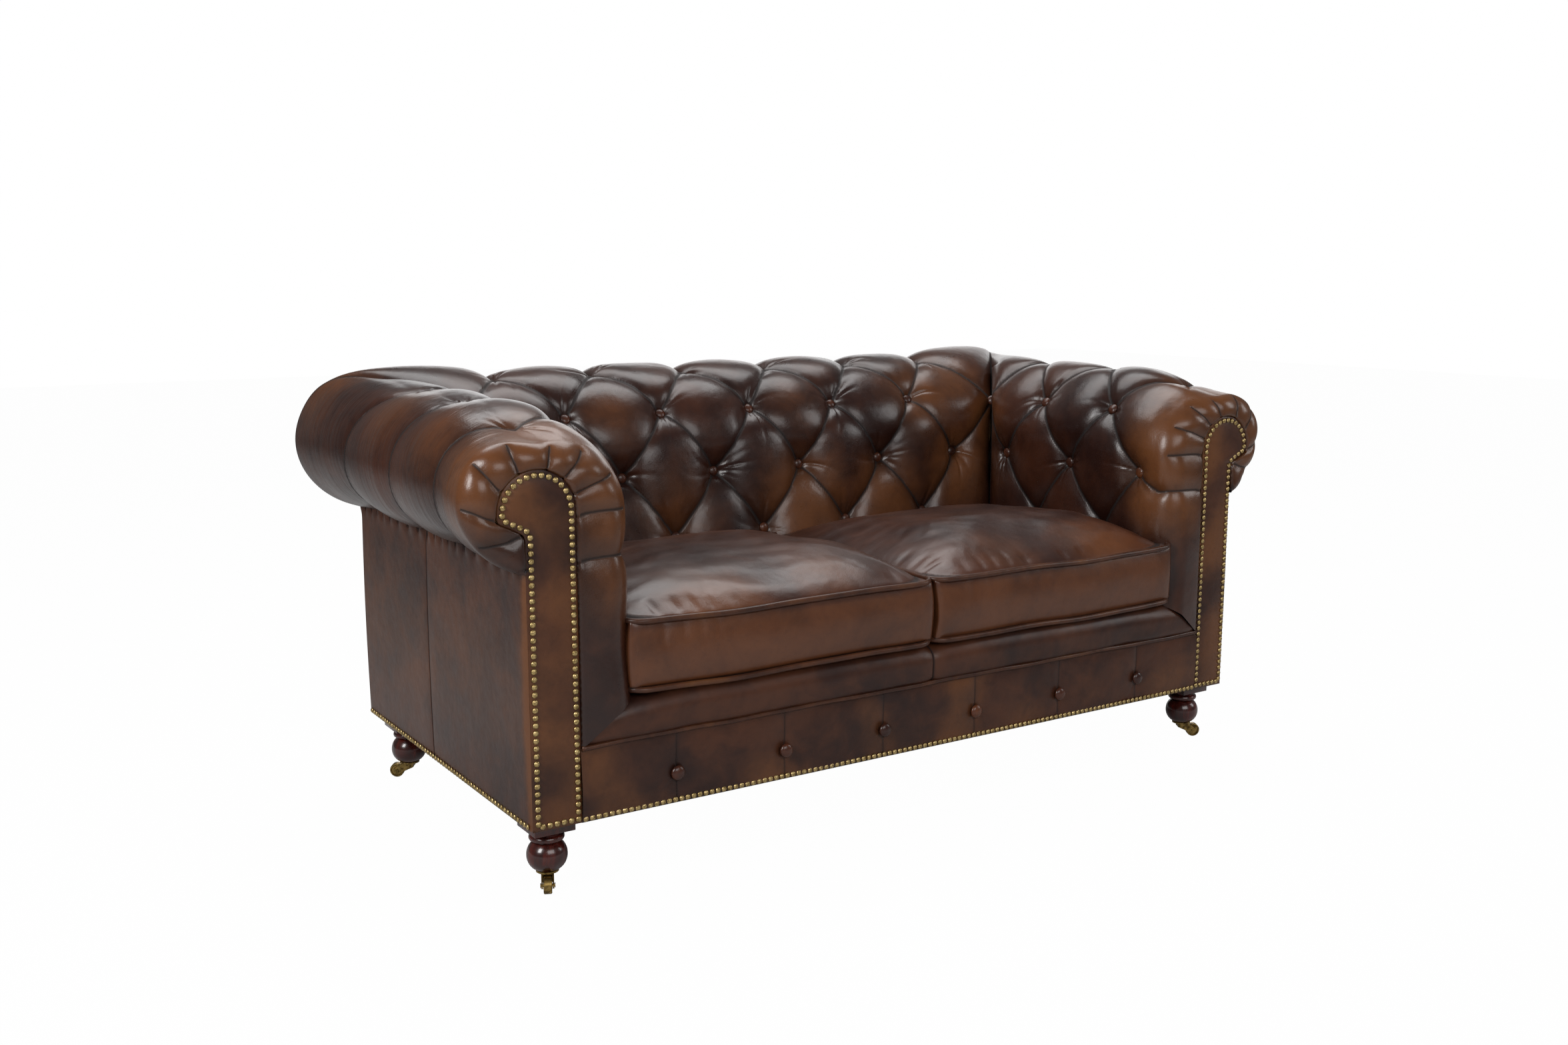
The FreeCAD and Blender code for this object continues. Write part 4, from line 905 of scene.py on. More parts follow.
def gather_near(inset, height):
    away = np.hypot(gather_line[:, 0] - inset, gather_line[:, 1] - height)
    return gather_length[away.argmin()]


LOWEST_LEVEL = 0.40
gather_knots = [
    (0.0, 0.0),
    (arm_section.near(ARM_THICK, LOWEST_LEVEL)[0], LOWEST_LEVEL - 0.248),
    (arm_section.near(ARM_THICK, SCROLL_CENTRE[1])[0], gather_near(FACING_INNER, SCROLL_CENTRE[1])),
    (arm_section.crest, gather_near(SCROLL_CENTRE[0], FACING_TOP)),
    (arm_section.side, gather_near(-FACING_REACH, SCROLL_CENTRE[1])),
    (arm_section.length, gather_length[-1]),
]


def gather_point(length):
    """The place on the facing's edge that a line of the arm's leather is drawn to."""
    at = np.interp(length, [knot[0] for knot in gather_knots], [knot[1] for knot in gather_knots])
    inset = np.interp(at, gather_length, gather_line[:, 0])
    return inset, np.interp(at, gather_length, gather_line[:, 1])


print("gathers run for", round(gather_length[-1], 3), "m round the scroll")

# %% [markdown]
# The arms
#
# An arm's net starts under the edge of the facing, comes out over the padded front edge and
# then runs back along the arm to the mitre. The front edge has pleats that point at the scroll
# like the rays of a fan, and each ends in a small pucker where the leather turns the corner.
# Further back come the buttons, the tucks on the crest and the pleats over the roll, which
# drift backwards as they go round.

# %% The net of an arm
FRONT_ROUND = 0.036
FRONT_LEVEL = -0.004
FRONT_ROWS = 30
FRONT_RISE = 0.020
FRONT_EASE = 0.07
FRONT_SINK = 0.055
FRONT_SINK_REACH = 0.12
ARM_ROLL_RISE = 0.010
PLEAT_LEVEL = -0.014
ARM_STRAIGHT = 0.42
ARM_NET = 0.70
ARM_TUCK_INSET = 0.035
ARM_PITCH = 0.208
PLEAT_MOUTHS = [
    (-0.612, 0.626),
    (-0.635, 0.685),
    (-0.674, 0.737),
    (-0.736, 0.762),
    (-0.815, 0.758),
    (-0.870, 0.726),
    (-0.892, 0.654),
    (-0.870, 0.588),
    (-0.800, 0.542),
]
PLEAT_END = 0.16
SEAT_SEAM_HEIGHT = 0.552
ROLL_PLEATS = [(0.092, 0.155, 0.190), (0.300, 0.367, 0.400), (0.508, 0.612, 0.660)]


def arm_end(length):
    """How far behind the front the mitre lies at a place on the section."""
    return BASE_DEPTH - mitre_depth(arm_section.at(length)[0])


def front_sink(depth, length):
    """The crest of the arm dips towards the front edge."""
    near_crest = np.exp(-(((length - arm_section.crest + 0.03) / 0.15) ** 2))
    return FRONT_SINK * near_crest * np.exp(-((np.maximum(depth, 0) / FRONT_SINK_REACH) ** 2))


def edge_round(length):
    """How far the leather turns at the front edge. It gets tight where the facing comes close."""
    inset, height = arm_section.at(length)
    gather_inset, gather_height = gather_point(length)
    wide = np.hypot(gather_inset - inset, gather_height - height) - front_sink(0.0, length)
    return np.minimum(FRONT_ROUND, 0.7 * wide) + 1e-4, wide


arm_spots = []
for spot in arm_buttons:
    spot_length, depth = arm_section.near(HALF_WIDTH - spot[0], spot[2])
    arm_spots.append((spot[1] - FRONT, spot_length, -depth - BUTTON_SEAT))
arm_lengths = sorted({round(length, 3) for _, length, _ in arm_spots})
arm_tuck_length = arm_section.near(ARM_TUCK_INSET, TUCK_HEIGHT)[0]
low_length = arm_section.near(ARM_THICK, 0.457)[0]
arm_body = graded(0, ARM_NET, [spot[0] for spot in arm_spots], COARSE, FINE)
arm_across = graded(
    0, arm_section.length, [low_length, arm_tuck_length] + arm_lengths, COARSE, FINE
)


def arm_place(depth, length):
    """Row and column of an arm's net, for a place behind the front."""
    start = edge_round(length)[0] + FRONT_LEVEL
    nominal = drawn_in(depth, arm_end(length), ARM_STRAIGHT, ARM_NET)
    near = (nominal - start) * ARM_STRAIGHT / (ARM_STRAIGHT - start)
    nominal = np.where(nominal < ARM_STRAIGHT, near, nominal)
    row = FRONT_ROWS + np.interp(nominal, arm_body, np.arange(len(arm_body)))
    return row, np.interp(length, arm_across, np.arange(len(arm_across)))


def front_place(share, length):
    """Row and column on the padded front edge: share is 0 at its back and 1 at the facing."""
    return FRONT_ROWS * (1 - share), np.interp(length, arm_across, np.arange(len(arm_across)))


def arm_points(row, column):
    length = np.interp(column, np.arange(len(arm_across)), arm_across)
    inset, height = arm_section.at(length)
    gather_inset, gather_height = gather_point(length)
    radius, wide = edge_round(length)
    start = radius + FRONT_LEVEL
    nominal = np.interp(row - FRONT_ROWS, np.arange(len(arm_body)), arm_body)
    near = start + nominal * (ARM_STRAIGHT - start) / ARM_STRAIGHT
    depth = np.where(
        nominal < ARM_STRAIGHT, near, spread_out(nominal, arm_end(length), ARM_STRAIGHT, ARM_NET)
    )
    share = np.clip(1 - row / FRONT_ROWS, 0, 1)
    arc = radius * math.pi / 2
    run = share * (arc + np.maximum(wide - radius, 0))
    turn = np.minimum(run / radius, math.pi / 2)
    sideways = radius * (1 - np.cos(turn)) + np.maximum(run - arc, 0)
    front_depth = FRONT_LEVEL + radius * (1 - np.sin(turn))
    front_depth = front_depth + 0.005 * np.clip((share - 0.94) / 0.06, 0, 1) ** 2
    depth = np.where(row < FRONT_ROWS, front_depth, depth)
    inward = sideways + front_sink(depth, length)
    toward = np.maximum(np.hypot(gather_inset - inset, gather_height - height), 1e-6)
    inset = inset + (gather_inset - inset) / toward * inward
    height = height + (gather_height - height) / toward * inward
    points = np.stack([inset - HALF_WIDTH, FRONT + depth, height], axis=-1)
    along = np.where(row < FRONT_ROWS, start - run, depth)
    return points, along, length


print("net of an arm:", FRONT_ROWS + len(arm_body), "by", len(arm_across))


# %% The folds of an arm
def arm_rise(along, length):
    """Full puffs behind, and flatter ones on the padded front edge."""
    flat = np.clip((length - arm_tuck_length + 0.07) / 0.08, 0, 1)
    behind = PUFF_RISE + (ARM_ROLL_RISE - PUFF_RISE) * flat
    share = eased(along / FRONT_EASE)
    return FRONT_RISE + (behind - FRONT_RISE) * share


def fold_arm(quilt):
    middle, high = ([s for s in arm_spots if abs(s[1] - row) < 0.01] for row in arm_lengths)
    corner = (arm_end(corner_length_on_arm), corner_length_on_arm, CORNER_LEVEL)
    tucks = [(spot[0], arm_tuck_length, TUCK_LEVEL) for spot in middle]
    low = [(spot[0], low_length, -0.010) for spot in high]
    lay_rows(quilt, arm_place, [low, middle, high + [corner], tucks], ARM_PITCH)
    for along, length, level in low:
        lay_fold(quilt, arm_place, (along, length), (along, 0.0), FOLD_LEVEL, level, FOLD_LEVEL)
    for tuck, side, under in ROLL_PLEATS:
        first = (tuck, arm_tuck_length)
        bend = (side, arm_section.side)
        lay_curve(quilt, first, bend, (under, arm_section.length))
    first_button = middle[0]
    seam_length = arm_section.near(ARM_THICK + 0.01, SEAT_SEAM_HEIGHT)[0]
    share, levels = fold_levels(first_button[2], -0.003, FOLD_LEVEL)
    along = first_button[0] + (0.036 - first_button[0]) * share
    length = first_button[1] + (seam_length - first_button[1]) * share
    rows, columns = arm_place(along, length)
    quilt.fold(np.stack([rows, columns], axis=1), levels)
    lay_pleat(quilt, seam_length, 0.0)
    for mouth_x, mouth_height in PLEAT_MOUTHS:
        lay_pleat(quilt, arm_section.near(HALF_WIDTH + mouth_x, mouth_height)[0], PLEAT_END)


def lay_curve(quilt, first, bend, last, count=60):
    """A pleat over the roll: level at the crest, then drifting back as it goes round."""
    length = np.linspace(first[1], last[1], count)
    share = (length - first[1]) / (bend[1] - first[1])
    drift = np.minimum(share, 1) ** 0.6
    along = first[0] + (bend[0] - first[0]) * drift
    past = np.clip((length - bend[1]) / (last[1] - bend[1]), 0, 1)
    along = along + (last[0] - bend[0]) * past
    rows, columns = arm_place(along, length)
    quilt.fold(np.stack([rows, columns], axis=1), np.full(count, PLEAT_LEVEL))


def lay_pleat(quilt, length, end, count=24):
    """A pleat of the front edge, from the facing out to where it dies away."""
    share = np.linspace(1, end, count)
    swing = 0.004 * np.sin(share * math.pi)
    rows, columns = front_place(share, length + swing)
    fade = np.clip((share - end) / 0.25, 0, 1)
    quilt.fold(np.stack([rows, columns], axis=1), -0.005 * fade if end else np.full(count, -0.004))


corner_length_on_arm = arm_section.near(HALF_WIDTH - corner_button[0], corner_button[2])[0]
net_shape = (FRONT_ROWS + len(arm_body), len(arm_across))
arm_rows, arm_columns = np.meshgrid(np.arange(net_shape[0]), np.arange(net_shape[1]), indexing="ij")
_, arm_real_along, arm_real_length = arm_points(arm_rows, arm_columns)
arm_quilt = Quilt(
    net_shape,
    np.maximum(np.abs(np.gradient(arm_real_along, axis=0)), 5e-4),
    np.gradient(arm_real_length, axis=1),
)
fold_arm(arm_quilt)
lay_mitre(
    arm_quilt,
    net_shape[0] - 1,
    np.arange(net_shape[1], dtype=float),
    arm_across,
    corner_length_on_arm,
    arm_section.crest,
)
for spot in arm_spots:
    arm_quilt.seat(arm_real_along, arm_real_length, spot[:2], spot[2])
arm_quilt.held[0, :] = True
print("points held in folds on an arm:", int(arm_quilt.held.sum()))

# %% The skin of the arms
def arm_lean(points, outward):
    """The same as back_lean, for the one end of an arm that is mitred."""
    away = np.abs(points[..., 1] - points[-1][None, :, 1])
    sideways = -outward[..., 0] * np.exp(-away / 0.03)
    return np.stack([0 * sideways, sideways, 0 * sideways], axis=-1)


arm_pits = [(spot[0], spot[1]) for spot in arm_spots]
arm_pits += [(spot[0], arm_tuck_length) for spot in arm_spots if abs(spot[1] - arm_lengths[0]) < 0.01]
for side_name, side in {"left": -1, "right": 1}.items():
    skin, along, length, paint = quilted_points(
        arm_quilt, arm_points, arm_rise, arm_pits, 3 + side, lean=arm_lean
    )
    if side > 0:
        skin = skin * np.array([-1, 1, 1])
    skin = sewn_to(skin, mitre_seams[side])
    paint["rub"] = rubbed(skin)
    # Painted shade on the first rows, where the leather goes in under the facing.
    paint["line"][:2] = 0.6
    paint["stretch"] = np.clip((length - arm_section.crest) / 0.05, 0, 1) * np.clip(along / 0.05, 0, 1)
    uv = np.stack([along, length], axis=-1)
    if side > 0:
        skin, uv = skin[::-1], uv[::-1]
        paint = {label: numbers[::-1] for label, numbers in paint.items()}
    arm = piece_from(
        f"arm_leather_{side_name}",
        skin,
        net_faces(*skin.shape[:2]),
        TUFTED_LEATHER,
        uv,
        paint,
    )
    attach(arm, "sofa")
    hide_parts(f"arm_upholstery_{side_name}")
    print(arm.name, len(arm.data.polygons), "faces")

# %% [markdown]
# The padded rail and the front border
#
# Under the cushions lies a padded lip, cut at a slant at both ends where it meets the arms, and
# seamed in the middle. Below it, past a welt, comes the border: a panel with a button every
# pitch and a seam through each button. Both are nets again, with the seams as folds.

# %% The padded lip
LIP_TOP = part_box("seat_lip")[1].z
LIP_FOOT = 0.2485
LIP_BACK = FRONT + 0.13
LIP_NOSE = 0.010
LIP_ROUND = 0.030
LIP_HALF = 0.6285
FACING_EDGE = HALF_WIDTH - FACING_INNER
STITCH_LEVEL = -0.0025
LIP_RISE = 0.007

lip_side = [(FRONT + 0.002, LIP_FOOT), (FRONT - 0.8 * LIP_NOSE, LIP_FOOT + 0.012)]
lip_turn = round_line((FRONT - LIP_NOSE + LIP_ROUND, LIP_TOP - LIP_ROUND), LIP_ROUND, 180, 90, 24)
lip_line = np.concatenate([lip_side, lip_turn, [(LIP_BACK, LIP_TOP - 0.004)]])
lip_lengths = line_length(lip_line)
lip_across = graded(0, lip_lengths[-1], [0.03, 0.08], 0.006, 0.004)
lip_along = graded(-1.0, 1.0, [0.0], 0.0085, 0.003)


def lip_points(row, column):
    share = np.interp(row, np.arange(len(lip_along)), lip_along)
    length = np.interp(column, np.arange(len(lip_across)), lip_across)
    depth = np.interp(length, lip_lengths, lip_line[:, 0])
    height = np.interp(length, lip_lengths, lip_line[:, 1])
    slant = np.clip((LIP_TOP - height) / (LIP_TOP - LIP_FOOT), 0, 1)
    slant = np.where(length > lip_lengths[-1] * 0.6, 0, slant)
    half = LIP_HALF + (FACING_EDGE + 0.002 - LIP_HALF) * slant
    along = share * half
    return np.stack([along, depth, height], axis=-1), along, length


lip_rows, lip_columns = np.meshgrid(
    np.arange(len(lip_along)), np.arange(len(lip_across)), indexing="ij"
)
_, lip_real, lip_real_length = lip_points(lip_rows, lip_columns)
lip_quilt = Quilt(
    lip_rows.shape, np.gradient(lip_real, axis=0), np.gradient(lip_real_length, axis=1), 0.03
)
last_column = len(lip_across) - 1
for row in (0, (len(lip_along) - 1) / 2, len(lip_along) - 1):
    lip_quilt.fold([(row, 0), (row, last_column)], [STITCH_LEVEL, STITCH_LEVEL])
lip_quilt.fold([(0, 0), (len(lip_along) - 1, 0)], [0.0, 0.0])
skin, along, length, paint = quilted_points(lip_quilt, lip_points, lambda a, b: LIP_RISE, [], 5)
# The line that quilted_points paints gives a painted shadow along the lip's stitched seams.
paint["rub"] = paint["rub"] * 0.5
lip = piece_from(
    "seat_lip_leather",
    skin,
    net_faces(*skin.shape[:2]),
    PANEL_LEATHER,
    np.stack([along, length], axis=-1),
    paint,
)
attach(lip, "sofa")
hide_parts("seat_lip")
print("lip:", len(lip.data.polygons), "faces")

# %% The front border
BORDER_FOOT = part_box("front_border")[0].z
BORDER_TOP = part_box("front_border")[1].z + 0.003
BORDER_RISE = 0.0065
border_low, border_high = separate_boxes("border_buttons")
border_buttons = (border_low + border_high) / 2
border_seams = sorted(border_buttons[:, 0])
border_height = float(border_buttons[0, 2])
border_along = graded(-FACING_EDGE - 0.002, FACING_EDGE + 0.002, border_seams, 0.0075, 0.003)
border_across = graded(BORDER_FOOT, BORDER_TOP, [border_height], 0.006, 0.003)


def flat_place(along_net, across_net):
    """Row and column for a place on a net whose two lengths are straight."""

    def place(along, across):
        row = np.interp(along, along_net, np.arange(len(along_net)))
        return row, np.interp(across, across_net, np.arange(len(across_net)))

    return place


def border_points(row, column):
    along = np.interp(row, np.arange(len(border_along)), border_along)
    height = np.interp(column, np.arange(len(border_across)), border_across)
    return np.stack([along, np.full(along.shape, FRONT + 0.001), height], axis=-1), along, height


def flat_quilt(along_net, across_net, reach):
    shape = (len(along_net), len(across_net))
    return Quilt(shape, np.gradient(along_net)[:, None], np.gradient(across_net)[None, :], reach)


border_quilt = flat_quilt(border_along, border_across, 0.028)
border_place = flat_place(border_along, border_across)
for seam in border_seams:
    heights = np.linspace(BORDER_FOOT, BORDER_TOP, 40)
    pull = np.exp(-(((heights - border_height) / 0.016) ** 2))
    rows, columns = border_place(np.full(40, seam), heights)
    border_quilt.fold(np.stack([rows, columns], axis=1), 0.001 - 0.004 * pull)
for height in (BORDER_FOOT, BORDER_TOP):
    ends = [border_place(side * FACING_EDGE * 1.01, height) for side in (-1, 1)]
    border_quilt.fold(ends, [0.0005, 0.0005])
pits = [(seam, border_height) for seam in border_seams]
skin, along, length, paint = quilted_points(
    border_quilt, border_points, lambda a, b: BORDER_RISE, pits, 6, 0.0016
)
paint["rub"] = np.clip(0.35 + 1.1 * wander(skin, 7.0, 40), 0, 0.9)
# The painted shadow line along the border's seams is kept faint.
paint["line"] = 0.22 + 0.78 * paint["line"]
border = piece_from(
    "border_leather",
    skin,
    net_faces(*skin.shape[:2]),
    PANEL_LEATHER,
    np.stack([along, length], axis=-1),
    paint,
)
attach(border, "sofa")
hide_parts("front_border")
print("border:", len(border.data.polygons), "faces")

# %% [markdown]
# Piping
#
# A welt is a cord sewn into a strip of leather. It is drawn as a tube along a line of points.
# The section of the tube is carried along so that it doesn't twist.


# %% Piping
def tube(name, line, radius, finish, closed=False, sides=10):
    """A round cord along a line of points."""
    ahead = np.roll(line, -1, axis=0) - line
    behind = line - np.roll(line, 1, axis=0)
    if not closed:
        ahead[-1] = behind[-1]
        behind[0] = ahead[0]
    heading = ahead + behind
    heading /= np.linalg.norm(heading, axis=1, keepdims=True)
    sideways = np.cross(heading, (0.0, 0.0, 1.0))
    sideways /= np.linalg.norm(sideways, axis=1, keepdims=True)
    upward = np.cross(sideways, heading)
    turn = np.linspace(0, 2 * math.pi, sides, endpoint=False)
    rings = (
        line[:, None, :]
        + radius * np.cos(turn)[None, :, None] * sideways[:, None, :]
        + radius * np.sin(turn)[None, :, None] * upward[:, None, :]
    )
    count = len(line)
    spans = count if closed else count - 1
    faces = []
    for ring in range(spans):
        following = (ring + 1) % count
        for side in range(sides):
            beside = (side + 1) % sides
            faces.append(
                (
                    ring * sides + side,
                    following * sides + side,
                    following * sides + beside,
                    ring * sides + beside,
                )
            )
    if not closed:
        faces.append(tuple(range(sides)))
        faces.append(tuple(reversed(range((count - 1) * sides, count * sides))))
    return smooth_piece(name, rings, faces, finish)


WELT_RADIUS = 0.0045
welt_x = np.linspace(-FACING_EDGE, FACING_EDGE, 240)
welt_line = np.stack(
    [
        welt_x,
        np.full(welt_x.shape, FRONT - 0.002),
        LIP_FOOT + 0.0008 * np.sin(welt_x * 19.0) + 0.0005 * np.sin(welt_x * 47.0),
    ],
    axis=1,
)
welt = tube("border_piping", welt_line, WELT_RADIUS, WELT_LEATHER)
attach(welt, "sofa")
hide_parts("border_welt")
print("border piping:", len(welt.data.polygons), "faces")

# %% [markdown]
# Facings and outside panels
#
# The facing is leather over a thin pad on the scroll board, held by the nails along its edge,
# so it swells a little inside the nails. Its net runs up the board, and its rows grow shorter
# towards the top of the scroll. The outside panels are plain, sewn from two hides, and pucker
# where they are tacked under the roll.

# %% The scroll facings
FACING_RISE = 0.0035
facing_rows = np.concatenate(
    [
        np.linspace(FACING_FOOT, 0.595, 84),
        np.linspace(0.595, SCROLL_CENTRE[1], 16)[1:],
        SCROLL_CENTRE[1] + SCROLL_ROUND * np.sin(np.linspace(0, math.pi / 2, 22)[1:]),
    ]
)
outer_line = facing_line(FACING_FOOT, FACING_FOOT)
outer_line = outer_line[np.argmax(outer_line[:, 0] < SCROLL_CENTRE[0] - 1e-9) :]
order = np.argsort(outer_line[:, 1])


def facing_sides(height):
    """Insets of the facing's two edges at a height."""
    above = np.clip((height - SCROLL_CENTRE[1]) / SCROLL_ROUND, 0, 1)
    inner = SCROLL_CENTRE[0] + SCROLL_ROUND * np.sqrt(np.maximum(1 - above**2, 0))
    outer = np.interp(height, outer_line[order, 1], outer_line[order, 0])
    return inner, np.minimum(outer, inner)


facing_across = np.concatenate([[-1.0], np.linspace(-0.97, 0.97, 23), [1.0]])
heights, shares = np.meshgrid(facing_rows, facing_across, indexing="ij")
inner, outer = facing_sides(heights)
inset = (inner + outer) / 2 + (outer - inner) / 2 * shares
edge_away = np.minimum(np.abs(inset - inner), np.abs(outer - inset))
edge_away = np.minimum(edge_away, np.maximum(FACING_TOP - heights, 0))
edge_away = np.minimum(edge_away, heights - FACING_FOOT)
swollen = 1 - np.exp(-np.maximum(edge_away - 0.008, 0) / 0.016)
lifted = FACING_RISE * swollen + 0.0015 * np.clip(edge_away / 0.004, 0, 1)
for side_name, side in {"left": -1, "right": 1}.items():
    points = np.stack(
        [side * (HALF_WIDTH - inset), FRONT + 0.001 - lifted, heights], axis=-1
    )
    points[..., 1] -= 0.0008 * wander(points, 14.0, 8 + side) * swollen
    layers = [points, np.stack([inset, heights], axis=-1), swollen]
    if side > 0:
        layers = [layer[:, ::-1] for layer in layers]
    points, uv, fullness = layers
    # puff paints a faint shade along the edges, where the pad dips to the nails.
    facing = piece_from(
        f"facing_leather_{side_name}",
        points,
        net_faces(*points.shape[:2]),
        PANEL_LEATHER,
        uv,
        {"puff": 0.6 + fullness, "rub": np.clip(0.55 + 0.9 * wander(points, 9.0, 30 + side), 0, 1)},
    )
    bpy.context.view_layer.objects.active = facing
    rim = facing.modifiers.new("board", "SOLIDIFY")
    rim.thickness = 0.006
    rim.offset = -1
    bpy.ops.object.modifier_apply(modifier="board")
    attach(facing, "sofa")
    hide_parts(f"facing_{side_name}")
    print(facing.name, len(facing.data.polygons), "faces")

# %% The outside panels
PANEL_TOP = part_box("outside_arm_right")[1].z
PANEL_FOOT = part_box("outside_arm_right")[0].z
PANEL_LIFT = 0.0015
PANEL_BILLOW = 0.0025
GATHER_HEIGHT = 0.0030
GATHER_REACH = 0.013
FRONT_TURN = 0.016
FRONT_TURN_DEPTH = 0.004
SIDE_SEAM = FRONT + 0.44
BACK_SEAM = 0.267


def outside_panel(name, node, start, end, seams, point_at, seed):
    """A flat hide with sewn seams, puckered along its top edge and turned in at the front."""
    along_net = graded(start, end, seams, 0.009, 0.003)
    across_net = graded(PANEL_FOOT, PANEL_TOP + 0.004, [PANEL_TOP], 0.009, 0.0035, 0.05)
    quilt = flat_quilt(along_net, across_net, 0.02)
    place = flat_place(along_net, across_net)
    for seam in seams:
        ends = [place(seam, PANEL_FOOT), place(seam, PANEL_TOP)]
        quilt.fold(ends, [-0.0012, -0.0012])
    full = quilt.swell()
    along, height = np.meshgrid(along_net, across_net, indexing="ij")
    below = PANEL_TOP - height
    gather = np.sin(along * 150 + 2.2 * np.sin(along * 17 + seed))
    gather *= np.exp(-((below / GATHER_REACH) ** 2))
    billow = np.sin(math.pi * np.clip((height - PANEL_FOOT) / (PANEL_TOP - PANEL_FOOT), 0, 1))
    lift = quilt.sag() + PANEL_LIFT * full + GATHER_HEIGHT * gather + PANEL_BILLOW * billow
    depth = point_at(along, height, lift)[..., 1] - FRONT
    near_front = np.exp(-((depth / FRONT_TURN) ** 2))
    points = point_at(along, height, lift - FRONT_TURN_DEPTH * near_front**3)
    faces = net_faces(*points.shape[:2])
    panel = piece_from(
        name,
        points,
        faces,
        PANEL_LEATHER,
        np.stack([along, height], axis=-1),
        {
            # puff and line paint shade: darker along the sewn seams, and a painted shadow in the hollow of
            # each pucker under the roll.
            "puff": 0.5 + full,
            "line": np.minimum(quilt.near_fold(), 1 + 1.2 * np.minimum(gather, 0)),
            "rub": 0.45 * billow + near_front,
        },
    )
    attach(panel, "sofa")
    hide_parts(node)
    print(name, len(panel.data.polygons), "faces")
    return panel


outside_panel(
    "outside_leather_left",
    "outside_arm_left",
    -(REAR - 0.001),
    -(FRONT + 0.0005),
    [-SIDE_SEAM],
    lambda along, height, lift: np.stack([-HALF_WIDTH - lift, -along, height], axis=-1),
    11,
)
outside_panel(
    "outside_leather_right",
    "outside_arm_right",
    FRONT + 0.0005,
    REAR - 0.001,
    [SIDE_SEAM],
    lambda along, height, lift: np.stack([HALF_WIDTH + lift, along, height], axis=-1),
    12,
)
outside_panel(
    "outside_leather_back",
    "outside_back",
    -HALF_WIDTH,
    HALF_WIDTH,
    [-BACK_SEAM, BACK_SEAM],
    lambda along, height, lift: np.stack([-along, REAR + lift, height], axis=-1),
    13,
)

# %% [markdown]
# Loose cushions
#
# Each cushion is a box of leather over foam and down: a crowned top, a border all round, and a
# welt along both edges. A box is rounded and crowned first. Then the cloth solver
# blows it up gently while its seams are held, which gives the top its even swell and pulls
# the border in at the corners. The creases that run in from the welt come last.

# %% The cushions
CUSHION_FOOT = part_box("cushion_cover_right")[0].z + 0.008
CUSHION_EDGE_TOP = 0.441
CUSHION_GAP = 0.004
CUSHION_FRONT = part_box("cushion_cover_right")[0].y + 0.004
CUSHION_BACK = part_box("cushion_cover_right")[1].y - 0.004
CUSHION_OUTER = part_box("cushion_cover_right")[1].x - 0.004
CUSHION_CORNER = 0.034
CUSHION_SIZE = (CUSHION_OUTER - CUSHION_GAP, CUSHION_BACK - CUSHION_FRONT)
CUSHION_MIDDLE = ((CUSHION_OUTER + CUSHION_GAP) / 2, (CUSHION_BACK + CUSHION_FRONT) / 2)
CUSHION_CROWN = 0.070
CROWN_STEEPNESS = 4.2
CROWN_PLACES = [-1, -0.35, 1]
CROWN_SHARES = [0.75, 1.0, 0.55]
VOXEL = 0.006


def rounded_square_reach(across, deep):
    """1 on the edge of the cushion's plan and less inside, for places from -1 to 1."""
    return (np.abs(across) ** 9 + np.abs(deep) ** 9) ** (1 / 9)


def welt_lift(across, deep):
    """The welts aren't dead level: they lift at the corners and wander."""
    return 0.004 * np.abs(across) ** 6 + 0.0015 * np.sin(5 * across + 3 * deep)


def cushion_shape(points):
    """Crowns the top of a plain box of points and rounds its plan."""
    across = (points[:, 0] - CUSHION_MIDDLE[0]) / (CUSHION_SIZE[0] / 2)
    deep = (points[:, 1] - CUSHION_MIDDLE[1]) / (CUSHION_SIZE[1] / 2)
    inside = np.clip(1 - rounded_square_reach(across, deep), 0, 1)
    front_back = np.interp(deep, CROWN_PLACES, CROWN_SHARES)
    crown = CUSHION_CROWN * front_back * (1 - (1 - inside) ** CROWN_STEEPNESS)
    up = np.clip((points[:, 2] - CUSHION_FOOT) / (CUSHION_EDGE_TOP - CUSHION_FOOT), 0, 1)
    lifted = points.copy()
    lifted[:, 2] += crown * up**2 + welt_lift(across, deep)
    return lifted


def build_cushion(name):
    """A rounded, crowned box of even points."""
    bpy.ops.mesh.primitive_cube_add(size=1)
    cushion = bpy.context.object
    cushion.name = name
    height = CUSHION_EDGE_TOP - CUSHION_FOOT
    cushion.scale = (CUSHION_SIZE[0], CUSHION_SIZE[1], height)
    cushion.location = (CUSHION_MIDDLE[0], CUSHION_MIDDLE[1], CUSHION_FOOT + height / 2)
    bpy.ops.object.transform_apply()
    bpy.ops.object.mode_set(mode="EDIT")
    bpy.ops.mesh.select_all(action="DESELECT")
    shape = bmesh.from_edit_mesh(cushion.data)
    for edge in shape.edges:
        edge.select = abs(edge.verts[0].co.z - edge.verts[1].co.z) > height / 2
    bmesh.update_edit_mesh(cushion.data)
    bpy.ops.mesh.bevel(offset=CUSHION_CORNER, segments=6)
    bpy.ops.object.mode_set(mode="OBJECT")
    remesh = cushion.modifiers.new("even", "REMESH")
    remesh.mode = "VOXEL"
    remesh.voxel_size = VOXEL
    bpy.ops.object.modifier_apply(modifier="even")
    mesh = cushion.data
    spots = np.empty(len(mesh.vertices) * 3)
    mesh.vertices.foreach_get("co", spots)
    spots = cushion_shape(spots.reshape(-1, 3))
    mesh.vertices.foreach_set("co", spots.ravel())
    mesh.update()
    return cushion, spots


